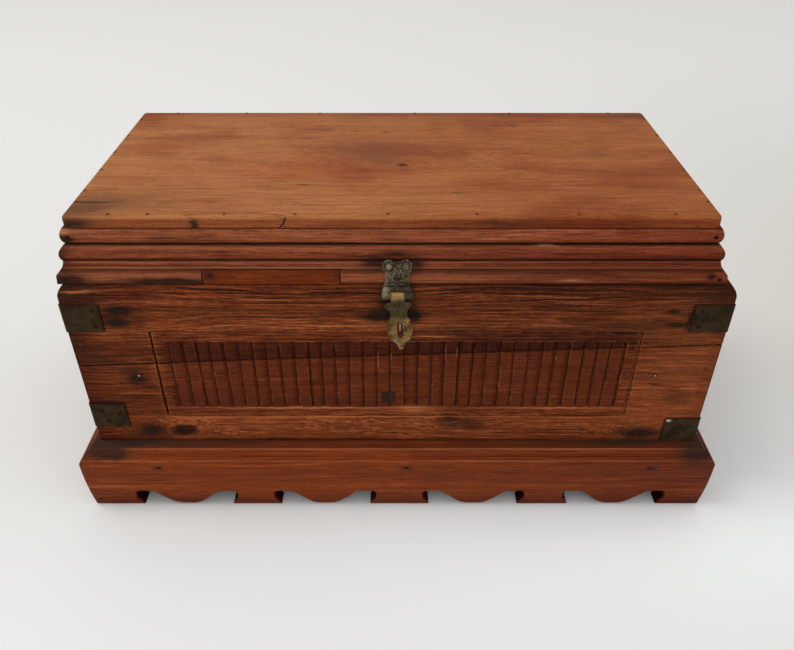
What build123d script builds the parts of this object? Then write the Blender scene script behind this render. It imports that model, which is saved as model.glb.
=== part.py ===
"""A small damchiya chest, built from separate boards, mitred mouldings and brass fittings.

Frame: +Z up, the front faces -Y, and the origin is at the centre of the footprint, on the floor.
Distances called "out" are measured outwards from the face of the case, so the same section
serves the front, the back and both sides.
"""
import os
from math import atan2, cos, degrees, hypot, radians, sin

from build123d import *

# ---- case --------------------------------------------------------------------------------
case_width = 450.0
case_depth = 222.0
wall = 14.0                     # thickness of the case boards
case_rise = 135.9               # case wall seen above the plinth
case_foot_gap = 24.0            # from the floor to the underside of the case
bottom_thickness = 9.0
rim_drop = 9.0                  # height of the worn, rounded top edge
rim_back = 4.0                  # how far that edge rolls back at the top
rim_crown = 0.9                 # and how much its curve is bowed
corner_radius = 1.5             # worn upright corners of the case
corner_bow = 0.35               # and how much their curve is bowed
overcut = 1.0                   # how far a cutting shape runs past the wood

joint_left = 71.3               # the slanted plank joint, above the plinth, at the left end
joint_right = 89.8              # and at the right end

# ---- carved panel in the front -----------------------------------------------------------
panel_width = 336.4
panel_shift = -1.0              # its outline sits a little to the left of the flutes
panel_height = 76.0
panel_rise = 24.6               # from the plinth to the panel's lower line
panel_band = 8.6                # plain band above and below the flutes, inside the outline
panel_side_band = 9.8           # and at both ends of them
flute_count = 33
outline_width = 1.8
outline_depth = 1.6
flute_groove_width = 2.2
flute_depth = 1.4
plug_size = 10.6
plug_depth = 4.0
plug_x = -6.6
plug_inset = 3.4                # from the lower end of the flutes up to the plug

# ---- plinth ------------------------------------------------------------------------------
plinth_height = 57.9
plinth_out = 14.2               # how far its widest line stands out
ledge_out = 6.5                 # nearly flat ledge at the top
ledge_fall = 2.7
bevel_groove = 1.2              # small groove half way down the bevel
widest_drop = 10.6              # from the top of the plinth to its widest line
plinth_lean = 2.6               # the face leans in by this much at the floor
toe_radius = 1.6                # softened lower edge
half_round = 1 - cos(radians(45))   # a quarter round's middle, in from its corner

opening_length = 70.0           # one sawn opening between two feet
long_side_openings = 4
short_side_openings = 2
corner_foot = 37.7              # length of a corner foot along the floor
hook_depth = 4.9                # the foot is hollowed behind its toe
hook_height = 7.6
arch_height = 16.8
ogee_start = 9.5                # from the toe to the knee of the ogee
ogee_end = 26.0                 # from the toe to the foot of the ogee
lobe_gap = 2.0                  # the lobes hang just clear of the floor
toe_corner = 0.4                # the toe's lower corner is worn back by this much
toe_corner_rise = 1.0
toe_corner_radius = 1.2
hook_rounding = 0.45            # the hook's radius, as a share of its height
arch_rounding = 0.85            # the arch's radius, as a share of the hook's depth
knee_rounding = 0.75            # the knee's radius, as a share of its distance from the toe
ogee_rounding = 0.6             # and the foot's, as a share of its own
sawn_drift = (2.6, -0.4, 4.1, 2.3)  # the front's openings wander from an even spacing

# ---- lid ---------------------------------------------------------------------------------
lid_gap = 0.5                   # between the case rim and the closed lid
lid_shift = -3.3                # the lid is hung a little to the left of the case
rail_height = 36.6
rail_inner = 24.0               # inner face of the lid rails, in from the case face
lip_in = 4.4                    # outer face of the lip, in from the case face
lip_height = 6.2
lip_flare = 0.5
cove_in = 9.8
cove_top = 14.8
cove_sag = 1.1                  # how deep the cove is hollowed
torus_in = 8.7
torus_top = 25.4
groove_in = 13.6
groove_cut = 1.0                # depth and height of the groove over the torus
groove_height = 1.2
bead_in = 11.3
bead_return = 0.6               # the bead rolls back this far short of the groove
lid_board_in = 13.6
lid_board_thickness = 8.4
lid_board_corner = 4.0
lid_board_round = 3.2

graft_right = -71.6             # right end of the sliver in the lid board's front edge
graft_length = 62.0
graft_depth = 5.6
graft_seam = 0.25               # the sliver has shrunk from its bed by this much
graft_end_gap = 0.9             # and more at its right end
patch_left = -128.4             # repair strip in the front lip
patch_right = -37.0
patch_height = 9.4
patch_depth = 6.5

# ---- hasp --------------------------------------------------------------------------------
hasp_x = 0.2
hasp_axis_drop = 3.6            # from the case rim down to the hasp pin
hasp_axis_out = 3.2
knuckle_radius = 2.7
hasp_pin_radius = 1.2
running_fit = 0.05
knuckle_gap = 0.3
hasp_width = 20.2
centre_knuckle = 9.4
sheet = 1.2                     # brass sheet of the hasp
leaf_top = 21.0                 # upper end of the leaf, above the hasp pin
leaf_stand = 0.3                # the leaf bears on the moulding with this little air
lobe_radius = 4.3
lobe_spread = 11.0
lobe_join = 37.0                # where the leaf's flank meets a lobe, below the level
notch_depth = 2.6               # between the lobes
waist_half = 7.7
waist_rise = 9.6
flare_half = 9.3
arm_stand = 0.3                 # back of the arm in front of the pin axis
arm_ajar = 9.0                  # the arm hangs this far out, just clear of the staple
arm_lean = 4.3                  # it is bent a little to the right
arm_length = 39.4
slot_length = 12.0
slot_width = 4.0
slot_drop = 24.4                # pin to the middle of the slot
scroll_half = 9.2               # the scrolled shoulders under the knuckle
scroll_drop = 6.2
scroll_thickness = 1.7
scroll_hook = 1.0
scroll_rise = 0.8
neck_length = 1.4               # straight part between the knuckle and the scrolls
neck_relief = 0.3               # the neck is filed narrower than its knuckle
waist_hollow = 2.3
disc_half = 8.35                # the disc round the slot
disc_cut_half = 6.45            # its half-width at the cuts above and below
disc_rise = 5.6                 # from the disc's middle to either cut
cusp_out = 0.9
cusp_height = 1.2
tip_half = 1.3
tip_round = 0.6
tip_hollow = 1.0
staple_wire = 1.8
staple_out = 7.0
staple_spread = 8.0             # between the two legs
staple_reach = 10.0             # how deep the legs are driven

# ---- butt hinges -------------------------------------------------------------------------
hinge_inset = 90.0              # from the end of the case to the middle of a hinge
hinge_length = 38.0
hinge_leaf = 1.2
hinge_leaf_reach = 10.0         # how far the leaf runs in over the wood
hinge_knuckle_radius = 2.6
hinge_pin_radius = 1.25
hinge_out = 2.8                 # pin axis behind the back of the case
leaf_gap = 0.3                  # between the closed leaves

# ---- corner brackets ---------------------------------------------------------------------
bracket_sheet = 0.8
bracket_reach = 25.5
bracket_height = 21.6
bracket_side_reach = 22.0
bracket_clip = 1.8
top_bracket_drop = 13.2         # from the case rim to the upper brackets
low_bracket_rise = 14.6         # from the plinth to the lower brackets
low_right_drop = 14.4           # the lower right one at the front sits further down
nail_pair_in = 20.9             # nails of a bracket's long leg, in from the corner
nail_pair_half = 6.3
flank_pair_in = 17.0            # nails of its short leg
flank_pair_half = 5.5
three_nails = ((7.5, 4.4), (21.0, 1.6), (11.0, -5.0))
skewed_nails = ((14.0, 3.6), (19.5, -4.4))

# ---- nails and screws --------------------------------------------------------------------
nail_radius = 0.8
nail_head_radius = 1.5
nail_head_height = 0.5
nail_head_taper = 45
nail_length = 12.0
corner_nail_length = 24.0
plinth_nail_length = 18.0
bracket_nail_length = 7.0
lid_nail_inset = 3.4            # from the board's edge
screw_radius = 1.1
screw_head_radius = 2.1
screw_length = 8.0
leaf_screw_head = 0.9           # height of the raised screw heads on the hasp
screw_head_taper = 30
screw_slot = 0.6
front_row = (0.0, 0.07, 0.205, 0.33, 0.493, 0.65, 0.83, 1.0)    # shares of the row's run
back_row = (0.0, 0.16, 0.33, 0.55, 0.77, 1.0)
side_row = (0.02, 0.13, 0.35, 0.555, 0.766, 1.0)
corner_stations = (0.0, 0.5, 1.0)
plinth_row = (0.0, 0.52, 1.03)
plinth_row_end = 60.0           # from the plinth's corner to the first nail of its row
plinth_nail_z = 42.5
toe_nail_in = 7.0               # one more, low in the front's left toe
toe_nail_z = 6.3
stray_x = 183.0                 # two old nails beside the carved panel
stray_rise = 62.7
mitre_nail_in = 5.0
nail_sink = 0.3
row_end = 30.0                  # from the board's end to the first nail of a long row
side_row_end = 18.0

# ---- worked-out levels -------------------------------------------------------------------
rim_z = plinth_height + case_rise
lid_z = rim_z + lid_gap
lid_board_z = lid_z + rail_height
top_z = lid_board_z + lid_board_thickness
half_width = case_width / 2
half_depth = case_depth / 2
front_y = -half_depth
wall_height = rim_z - case_foot_gap

os.makedirs("parts", exist_ok=True)


def keep(builder, name):
    """Labels a finished piece and writes it as its own STEP file."""
    builder.part.label = name
    export_step(builder.part, f"parts/{name}.step")


class Side:
    """One face of the chest: its outward direction, its distance from the centre and its length."""

    def __init__(self, outward, half, length, shift=0.0):
        self.outward = Vector(outward)
        self.half = half
        self.length = length
        self.centre = Vector(shift, 0, 0)
        self.along = self.outward.cross(Vector(0, 0, 1))

    def section(self, height=0.0):
        """A plane across the face: local x runs outwards from the case, local y runs up."""
        origin = self.centre + self.outward * self.half + Vector(0, 0, height)
        return Plane(origin=origin, x_dir=self.outward, z_dir=self.along)

    def plan(self, height=0.0):
        """A level plane: local x runs along the face, local y runs outwards from the centre."""
        origin = self.centre + Vector(0, 0, height)
        return Plane(origin=origin, x_dir=self.along, z_dir=(0, 0, 1))

    def face(self, out=0.0, height=0.0):
        """A plane on the face: local x runs to the right as it is looked at, local y runs up."""
        origin = self.centre + self.outward * (self.half + out) + Vector(0, 0, height)
        return Plane(origin=origin, x_dir=-self.along, z_dir=self.outward)


def four_sides(shift):
    """The four faces of the case, or of the lid that is hung a little beside it."""
    return {
        "front": Side((0, -1, 0), half_depth, case_width, shift),
        "back": Side((0, 1, 0), half_depth, case_width, shift),
        "left": Side((-1, 0, 0), half_width, case_depth, shift),
        "right": Side((1, 0, 0), half_width, case_depth, shift),
    }


sides = four_sides(0.0)
lid_sides = four_sides(lid_shift)
front = sides["front"]


def turned(plane, angle):
    """The same plane, turned about its own normal."""
    turn = Axis((0, 0, 0), plane.z_dir)
    return Plane(origin=plane.origin, x_dir=plane.x_dir.rotate(turn, angle), z_dir=plane.z_dir)


def bowed(start, end, rise):
    """Middle point of an arc that stands 'rise' off its chord, on the right of the way along it."""
    dx, dy = end[0] - start[0], end[1] - start[1]
    share = rise / hypot(dx, dy)
    return ((start[0] + end[0]) / 2 + share * dy, (start[1] + end[1]) / 2 - share * dx)


def mitre_plan(side, reach, depth, height=0.0):
    """The plan of a mitred length: 45 degree ends, 'reach' outside and 'depth' inside the case."""
    far = side.half + reach
    near = side.half - depth
    half = side.length / 2
    with BuildSketch(side.plan(height)) as plan:
        Polygon(
            (-half - reach, far), (half + reach, far), (half - depth, near), (-half + depth, near),
            align=None,
        )
    return plan.sketch


# ---- case boards -------------------------------------------------------------------------
def wall_section(side):
    """Section of a case board, with the worn rim rolled back at the top of its outer face."""
    rim_start = (0, rim_z - rim_drop)
    rim_end = (-rim_back, rim_z)
    with BuildSketch(side.section()) as section:
        with BuildLine():
            Polyline((-wall, case_foot_gap), (0, case_foot_gap), rim_start)
            ThreePointArc(rim_start, bowed(rim_start, rim_end, rim_crown), rim_end)
            Polyline(rim_end, (-wall, rim_z), (-wall, case_foot_gap))
        make_face()
    return section.sketch


def corner_waste():
    """What wear has taken off the upright corners of the case, seen from above."""
    start = (half_width - corner_radius, half_depth)
    end = (half_width, half_depth - corner_radius)
    beyond = (half_width + overcut, half_depth + overcut)
    with BuildSketch(Plane.XY.offset(case_foot_gap)) as waste:
        with BuildLine():
            ThreePointArc(start, bowed(start, end, -corner_bow), end)
            Polyline(end, (beyond[0], end[1]), beyond, (start[0], beyond[1]), start)
        make_face()
        mirror(about=Plane.YZ)
        mirror(about=Plane.XZ)
    return waste.sketch


seat_centres = [(hand * (half_width - hinge_inset), half_depth) for hand in (-1, 1)]
seat_depth = hinge_leaf + leaf_gap / 2 - lid_gap / 2


def hinge_seats(height):
    """Mortises for the hinge leaves, seen from above."""
    with BuildSketch(Plane.XY.offset(height)) as seats:
        with Locations(*seat_centres):
            Rectangle(hinge_length, 2 * (lip_in + hinge_leaf_reach))
    return seats.sketch


panel_mid = plinth_height + panel_rise + panel_height / 2
flute_field = panel_width - 2 * panel_side_band
flute_length = panel_height - 2 * panel_band
flute_pitch = flute_field / flute_count
flute_foot = panel_mid - flute_length / 2
plug_z = flute_foot + plug_inset + plug_size / 2

with BuildPart() as carving:
    with BuildSketch(front.face()):
        with Locations((panel_shift, panel_mid)):
            Rectangle(panel_width + outline_width, panel_height + outline_width)
            Rectangle(panel_width - outline_width, panel_height - outline_width, mode=Mode.SUBTRACT)
    extrude(amount=-outline_depth)
    with BuildSketch(Plane.XY.offset(flute_foot)):
        with Locations((0, front_y)):
            with GridLocations(flute_pitch, 0, flute_count + 1, 1):
                Polygon(
                    (-flute_groove_width / 2, 0), (flute_groove_width / 2, 0), (0, flute_depth),
                    align=None,
                )
    extrude(amount=flute_length)
    with BuildSketch(front.face()):
        with Locations((plug_x, plug_z)):
            Rectangle(plug_size, plug_size)
    extrude(amount=-plug_depth)

joint_slope = degrees(atan2(joint_right - joint_left, case_width))
joint_z = plinth_height + (joint_left + joint_right) / 2
for name, above in (("front_board_upper", 1), ("front_board_lower", -1)):
    with BuildPart() as plank:
        extrude(wall_section(front), amount=half_width, both=True)
        with BuildSketch(turned(front.face(height=joint_z), joint_slope)):
            with Locations((0, above * case_rise)):
                Rectangle(2 * case_width, 2 * case_rise)
        extrude(amount=2 * wall, both=True, mode=Mode.INTERSECT)
        extrude(corner_waste(), amount=wall_height, mode=Mode.SUBTRACT)
        add(carving.part, mode=Mode.SUBTRACT)
    keep(plank, name)

with BuildPart() as plug:
    with BuildSketch(front.face(out=-plug_depth)):
        with Locations((plug_x, plug_z)):
            Rectangle(plug_size, plug_size)
    extrude(amount=plug_depth - flute_depth / 2)
keep(plug, "panel_plug")

with BuildPart() as back_board:
    extrude(wall_section(sides["back"]), amount=half_width, both=True)
    extrude(corner_waste(), amount=wall_height, mode=Mode.SUBTRACT)
    extrude(hinge_seats(rim_z), amount=-seat_depth, mode=Mode.SUBTRACT)
keep(back_board, "back_board")

for name in ("left", "right"):
    with BuildPart() as side_board:
        extrude(wall_section(sides[name]), amount=half_depth - wall, both=True)
    keep(side_board, f"{name}_side_board")

with BuildPart() as bottom_board:
    with BuildSketch(Plane.XY.offset(case_foot_gap)):
        Rectangle(case_width - 2 * wall, case_depth - 2 * wall)
    extrude(amount=bottom_thickness)
keep(bottom_board, "bottom_board")


# ---- plinth ------------------------------------------------------------------------------
def plinth_section(side):
    """Ledge, grooved bevel, and a face that leans in towards the floor."""
    widest_z = plinth_height - widest_drop
    bevel_x = (ledge_out + plinth_out) / 2
    bevel_z = (plinth_height - ledge_fall + widest_z) / 2
    nib = bevel_groove / 2
    brow = (plinth_out - toe_radius, widest_z + toe_radius)
    cheek = (plinth_out, widest_z - toe_radius)
    shin = (plinth_out - plinth_lean, toe_radius)
    sole = (plinth_out - plinth_lean - toe_radius, 0)
    with BuildSketch(side.section()) as section:
        with BuildLine():
            Polyline(
                sole, (0, 0), (0, plinth_height), (ledge_out, plinth_height - ledge_fall),
                (bevel_x - bevel_groove, bevel_z + nib), (bevel_x - nib, bevel_z - nib),
                (bevel_x + nib, bevel_z - nib), brow,
            )
            TangentArc(cheek, brow, tangent=(0, 1))
            TangentArc(cheek, shin, tangent=(0, -1))
            ThreePointArc(shin, (shin[0] - toe_radius * half_round, toe_radius * half_round), sole)
        make_face()
    return section.sketch


def opening_centres(length, count):
    """Middles of the sawn openings on a side: alike feet stand between them."""
    run = length - 2 * corner_foot
    pitch = (run - opening_length) / (count - 1)
    return [(i - (count - 1) / 2) * pitch for i in range(count)]


def sawn_opening():
    """One opening: hooked behind each toe, a round arch, then an ogee down to the middle lobe."""
    half = opening_length / 2
    below = -toe_radius
    left = [
        (-half + toe_corner, below), (-half, toe_corner_rise), (-half - hook_depth, hook_height),
        (-half - hook_depth, arch_height), (-half + ogee_start, arch_height),
        (-half + ogee_end, lobe_gap),
    ]
    radii = [
        toe_corner_radius, hook_height * hook_rounding, hook_depth * arch_rounding,
        ogee_start * knee_rounding, ogee_end * ogee_rounding,
    ]
    right = [(-x, y) for x, y in reversed(left)]
    with BuildSketch() as opening:
        with BuildLine():
            edge = FilletPolyline(*left, *right, radius=radii + radii[::-1])
            Line(edge @ 1, edge @ 0)
        make_face()
    return opening.sketch


for name, side in sides.items():
    plinth_length = side.length + 2 * plinth_out
    count = long_side_openings if side.length == case_width else short_side_openings
    centres = opening_centres(plinth_length, count)
    if name == "front":
        centres = [x + drift for x, drift in zip(centres, sawn_drift)]
    with BuildPart() as plinth_board:
        extrude(plinth_section(side), amount=side.length / 2 + plinth_out, both=True)
        extrude(mitre_plan(side, plinth_out + overcut, 0), amount=plinth_height, mode=Mode.INTERSECT)
        with BuildSketch(side.face()):
            with Locations(*[(x, 0) for x in centres]):
                add(sawn_opening())
        extrude(amount=2 * plinth_out, both=True, mode=Mode.SUBTRACT)
    keep(plinth_board, f"plinth_{name}")


# ---- lid ---------------------------------------------------------------------------------
def rail_section(plane):
    """Moulded section of a lid rail, from its lip up: lip, cove, torus, groove and bead."""
    torus_mid = lid_z + (cove_top + torus_top) / 2
    bead_foot = torus_top + groove_height
    tip = (-lip_in - lip_flare, lid_z + lip_height)
    cove = (-cove_in, lid_z + cove_top)
    torus_end = (-groove_in + groove_cut, lid_z + torus_top)
    bead_start = (-groove_in + groove_cut, lid_z + bead_foot)
    bead_end = (-groove_in + bead_return, lid_z + rail_height)
    with BuildSketch(plane) as section:
        with BuildLine():
            Polyline((-rail_inner, lid_z), (-lip_in, lid_z), tip)
            ThreePointArc(tip, bowed(tip, cove, -cove_sag), cove)
            ThreePointArc(cove, (-torus_in, torus_mid), torus_end)
            Polyline(torus_end, (-groove_in, lid_z + (torus_top + bead_foot) / 2), bead_start)
            ThreePointArc(bead_start, (-bead_in, lid_z + (bead_foot + rail_height) / 2), bead_end)
            Polyline(bead_end, (-rail_inner, lid_z + rail_height), (-rail_inner, lid_z))
        make_face()
    return section.sketch


patch_section = front.section().offset(-(patch_left + patch_right) / 2)
patch_run = patch_right - patch_left
with BuildPart() as patch_tool:
    with BuildSketch(patch_section):
        with Locations((-lip_in, lid_z)):
            Rectangle(2 * patch_depth, 2 * patch_height)
    extrude(amount=patch_run / 2, both=True)

for name, side in lid_sides.items():
    with BuildPart() as rail:
        extrude(rail_section(side.section()), amount=side.length / 2, both=True)
        extrude(mitre_plan(side, 0, rail_inner, lid_z), amount=rail_height, mode=Mode.INTERSECT)
        if name == "front":
            add(patch_tool.part, mode=Mode.SUBTRACT)
        if name == "back":
            extrude(hinge_seats(lid_z), amount=seat_depth, mode=Mode.SUBTRACT)
    keep(rail, f"lid_rail_{name}")

with BuildPart() as lip_patch:
    extrude(rail_section(patch_section), amount=patch_run / 2, both=True)
    add(patch_tool.part, mode=Mode.INTERSECT)
keep(lip_patch, "lid_lip_patch")

front_lid = lid_sides["front"]
board_width = case_width - 2 * lid_board_in
board_depth = case_depth - 2 * lid_board_in


def lid_board_blank():
    """The whole lid board, with worn upright corners and a rounded top edge."""
    with BuildPart() as blank:
        with BuildSketch(front_lid.plan(lid_board_z)):
            RectangleRounded(board_width, board_depth, lid_board_corner)
        extrude(amount=lid_board_thickness)
        fillet(blank.edges().group_by(Axis.Z)[-1], radius=lid_board_round)
    return blank.part


graft_edge = -board_depth / 2


def sliver(seam, end_gap):
    """The long curved sliver, smaller than its bed by the seam behind and the gap at its end."""
    left = graft_right - graft_length
    right = graft_right - end_gap
    crest = (graft_right - graft_length / 3, graft_edge + graft_depth - seam)
    with BuildPart() as blank:
        with BuildSketch(Plane.XY.offset(lid_board_z)):
            with BuildLine():
                Line((left, graft_edge), (right, graft_edge))
                ThreePointArc((left, graft_edge), crest, (right, graft_edge))
            make_face()
        extrude(amount=lid_board_thickness)
    return blank.part


with BuildPart() as lid_board:
    add(lid_board_blank())
    add(sliver(0, 0), mode=Mode.SUBTRACT)
keep(lid_board, "lid_top_board")

with BuildPart() as graft:
    add(lid_board_blank())
    add(sliver(graft_seam, graft_end_gap), mode=Mode.INTERSECT)
keep(graft, "lid_board_graft")

# ---- hasp --------------------------------------------------------------------------------
hasp_z = rim_z - hasp_axis_drop
hasp_y = front_y - hasp_axis_out
outer_knuckle = (hasp_width - centre_knuckle) / 2 - knuckle_gap
outer_knuckle_x = (hasp_width - outer_knuckle) / 2
leaf_span = hasp_axis_out + torus_in + sheet


def across(x):
    """A plane across the pin of the hasp: local x runs out from the case face, local y runs up."""
    return Plane(origin=(hasp_x + x, front_y, hasp_z), x_dir=(0, -1, 0), z_dir=(-1, 0, 0))


def knuckle(x, length, radius, bore):
    """One knuckle round the hasp pin, centred at x."""
    with BuildPart() as ring:
        with BuildSketch(across(x)):
            with Locations((hasp_axis_out, 0)):
                Circle(radius)
                Circle(bore, mode=Mode.SUBTRACT)
        extrude(amount=length / 2, both=True)
    return ring.part


lip_rise = lid_z - hasp_z                       # the lip's lower edge, above the pin
tip_rise = lip_rise + lip_height
leaf_back = [
    (hasp_axis_out - hasp_pin_radius, knuckle_radius - sheet),
    (-lip_in + leaf_stand, lip_rise + leaf_stand),
    (-lip_in + leaf_stand, tip_rise),
    (-torus_in + leaf_stand, leaf_top),
]
leaf_front = [
    (hasp_axis_out, knuckle_radius),
    (leaf_back[1][0] + sheet, lip_rise + sheet),
    (leaf_back[2][0] + sheet, tip_rise),
    (leaf_back[3][0] + sheet, leaf_top),
]
lobe_z = leaf_top - lobe_radius
lobes = [(-lobe_spread / 2, lobe_z), (lobe_spread / 2, lobe_z)]
hasp_front = Plane(origin=(hasp_x, hasp_y, hasp_z), x_dir=(1, 0, 0), z_dir=(0, -1, 0))
leaf_tilt = atan2(leaf_back[2][0] - leaf_back[3][0], leaf_back[3][1] - leaf_back[2][1])
lobe_share = (lobe_z - tip_rise) / (leaf_top - tip_rise)
lobe_out = leaf_front[2][0] + lobe_share * (leaf_front[3][0] - leaf_front[2][0])
lobe_places = [
    Plane(origin=(hasp_x + x, front_y - lobe_out, hasp_z + z), x_dir=(1, 0, 0),
          z_dir=(0, -cos(leaf_tilt), sin(leaf_tilt)))
    for x, z in lobes
]

with BuildPart() as hasp_leaf:
    with BuildSketch(across(0)):
        with BuildLine():
            Polyline(*leaf_back, *reversed(leaf_front), close=True)
        make_face()
    extrude(amount=hasp_width / 2, both=True)
    with BuildSketch(hasp_front):
        with BuildLine():
            join = radians(lobe_join)
            shoulder = (lobes[1][0] + lobe_radius * cos(join), lobe_z - lobe_radius * sin(join))
            Polyline((0, 0), (hasp_width / 2, 0), (hasp_width / 2, knuckle_radius))
            Line((hasp_width / 2, knuckle_radius), (flare_half, knuckle_radius + sheet))
            ThreePointArc((flare_half, knuckle_radius + sheet), (waist_half, waist_rise), shoulder)
            Polyline(shoulder, lobes[1], (0, leaf_top - notch_depth), (0, 0))
        make_face()
        mirror(about=Plane.YZ)
        with Locations(*lobes):
            Circle(lobe_radius)
    extrude(amount=leaf_span, both=True, mode=Mode.INTERSECT)
    with BuildSketch(across(0)):
        with Locations((hasp_axis_out, 0)):
            Circle(knuckle_radius + knuckle_gap)
    extrude(amount=centre_knuckle / 2 + knuckle_gap, both=True, mode=Mode.SUBTRACT)
    with BuildSketch(across(0)):
        with Locations((hasp_axis_out, 0)):
            Circle(knuckle_radius - sheet / 2)
    extrude(amount=hasp_width / 2, both=True, mode=Mode.SUBTRACT)
    for x in (-outer_knuckle_x, outer_knuckle_x):
        add(knuckle(x, outer_knuckle, knuckle_radius, hasp_pin_radius))
    for place in lobe_places:
        with BuildSketch(place):
            Circle(screw_radius)
        extrude(amount=2 * sheet, both=True, mode=Mode.SUBTRACT)
keep(hasp_leaf, "hasp_leaf")

with BuildPart() as leaf_screws:
    for place in lobe_places:
        with BuildSketch(place):
            Circle(screw_radius)
        extrude(amount=-screw_length)
        with BuildSketch(place):
            Circle(screw_head_radius)
        extrude(amount=leaf_screw_head, taper=screw_head_taper)
        with BuildSketch(place.offset(leaf_screw_head / 2)):
            Rectangle(2 * screw_head_radius, screw_slot)
        extrude(amount=leaf_screw_head, mode=Mode.SUBTRACT)
keep(leaf_screws, "hasp_leaf_screws")

with BuildPart() as hasp_pin:
    with BuildSketch(across(0)):
        with Locations((hasp_axis_out, 0)):
            Circle(hasp_pin_radius)
    extrude(amount=hasp_width / 2, both=True)
keep(hasp_pin, "hasp_pin")

tilt = radians(arm_ajar)
arm_plane = Plane(origin=(hasp_x, hasp_y, hasp_z), x_dir=(1, 0, 0), z_dir=(0, -cos(tilt), sin(tilt)))
arm_face = turned(arm_plane, arm_lean).offset(arm_stand)
neck = (centre_knuckle / 2 - neck_relief, -knuckle_radius - neck_length)
scroll = (scroll_half, -scroll_drop)
scroll_under = (scroll_half - scroll_hook, -scroll_drop - scroll_thickness)
disc_top = (disc_cut_half, disc_rise - slot_drop)
disc_foot = (disc_cut_half, -disc_rise - slot_drop)
upper_cusp = (disc_cut_half + cusp_out, disc_top[1] + cusp_height)
lower_cusp = (disc_cut_half + cusp_out, disc_foot[1] - cusp_height)
tip_side = (tip_half, tip_round - arm_length)

with BuildPart() as hasp_arm:
    with BuildSketch(arm_face):
        with BuildLine():
            Polyline((0, 0), (neck[0], 0), neck)
            ThreePointArc(neck, bowed(neck, scroll, -scroll_rise), scroll)
            Line(scroll, scroll_under)
            ThreePointArc(scroll_under, bowed(scroll_under, upper_cusp, waist_hollow), upper_cusp)
            Line(upper_cusp, disc_top)
            ThreePointArc(disc_top, (disc_half, -slot_drop), disc_foot)
            Line(disc_foot, lower_cusp)
            ThreePointArc(lower_cusp, bowed(lower_cusp, tip_side, tip_hollow), tip_side)
            Polyline(tip_side, (0, -arm_length), (0, 0))
        make_face()
        mirror(about=Plane.YZ)
        with Locations((0, -slot_drop)):
            SlotOverall(slot_length, slot_width, rotation=90, mode=Mode.SUBTRACT)
    extrude(amount=sheet)
    with BuildSketch(across(0)):
        with Locations((hasp_axis_out, 0)):
            Circle(knuckle_radius - sheet / 2)
    extrude(amount=hasp_width, both=True, mode=Mode.SUBTRACT)
    add(knuckle(0, centre_knuckle, knuckle_radius, hasp_pin_radius + running_fit))
keep(hasp_arm, "hasp_arm")

staple_x = hasp_x + slot_drop * sin(radians(arm_lean))
staple_z = hasp_z - slot_drop * cos(radians(arm_lean)) * cos(tilt)
staple_bend = staple_spread / 2
staple_shoulder = staple_out - staple_wire / 2 - staple_bend
staple_plane = Plane(origin=(staple_x, front_y, staple_z), x_dir=(0, -1, 0), z_dir=(-1, 0, 0))
with BuildPart() as staple:
    with BuildLine(staple_plane) as staple_line:
        Line((-staple_reach, -staple_bend), (staple_shoulder, -staple_bend))
        ThreePointArc(
            (staple_shoulder, -staple_bend), (staple_shoulder + staple_bend, 0),
            (staple_shoulder, staple_bend),
        )
        Line((staple_shoulder, staple_bend), (-staple_reach, staple_bend))
    with BuildSketch(Plane(origin=staple_line.line @ 0, z_dir=staple_line.line % 0)):
        Circle(staple_wire / 2)
    sweep()
keep(staple, "staple")

# ---- butt hinges -------------------------------------------------------------------------
hinge_z = rim_z + lid_gap / 2
hinge_y = half_depth + hinge_out
hinge_knuckle = (hinge_length - 2 * knuckle_gap) / 3
leaf_in = lip_in + hinge_leaf_reach + hinge_out
hinge_screw_stations = (-hinge_length / 3, 0, hinge_length / 3)
screw_row_y = half_depth - lip_in - hinge_leaf_reach / 2


def hinge_across(x):
    """A plane across a hinge pin, with the pin's axis at its origin."""
    return Plane(origin=(x, hinge_y, hinge_z), x_dir=(0, 1, 0), z_dir=(1, 0, 0))


def hinge_half(x, up, centres, bore):
    """One leaf with its knuckles. 'up' is 1 for the lid's leaf and -1 for the case's leaf."""
    near = leaf_gap / 2
    with BuildPart() as half_hinge:
        with BuildSketch(hinge_across(x)):
            with Locations((-leaf_in / 2, up * (near + hinge_leaf / 2))):
                Rectangle(leaf_in, hinge_leaf)
        extrude(amount=hinge_length / 2, both=True)
        with BuildSketch(Plane.XY.offset(hinge_z)):
            with Locations(*[(x + station, screw_row_y) for station in hinge_screw_stations]):
                Circle(screw_head_radius)
        extrude(amount=up * (near + hinge_leaf), mode=Mode.SUBTRACT)
        with BuildSketch(hinge_across(x)):
            Circle(hinge_knuckle_radius + knuckle_gap)
        extrude(amount=hinge_length / 2, both=True, mode=Mode.SUBTRACT)
        for centre in centres:
            with BuildSketch(hinge_across(x + centre)):
                Circle(hinge_knuckle_radius)
                with Locations((-hinge_knuckle_radius, up * (near + hinge_leaf / 2))):
                    Rectangle(2 * hinge_knuckle_radius, hinge_leaf)
                Circle(bore, mode=Mode.SUBTRACT)
            extrude(amount=hinge_knuckle / 2, both=True)
    return half_hinge


outer_hinge_x = hinge_knuckle + knuckle_gap
for name, (x, _) in zip(("left", "right"), seat_centres):
    lower = hinge_half(x, -1, (-outer_hinge_x, outer_hinge_x), hinge_pin_radius)
    keep(lower, f"hinge_{name}_case_leaf")
    upper = hinge_half(x, 1, (0,), hinge_pin_radius + running_fit)
    keep(upper, f"hinge_{name}_lid_leaf")
    with BuildPart() as pin:
        with BuildSketch(hinge_across(x)):
            Circle(hinge_pin_radius)
        extrude(amount=hinge_length / 2, both=True)
    keep(pin, f"hinge_{name}_pin")


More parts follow.
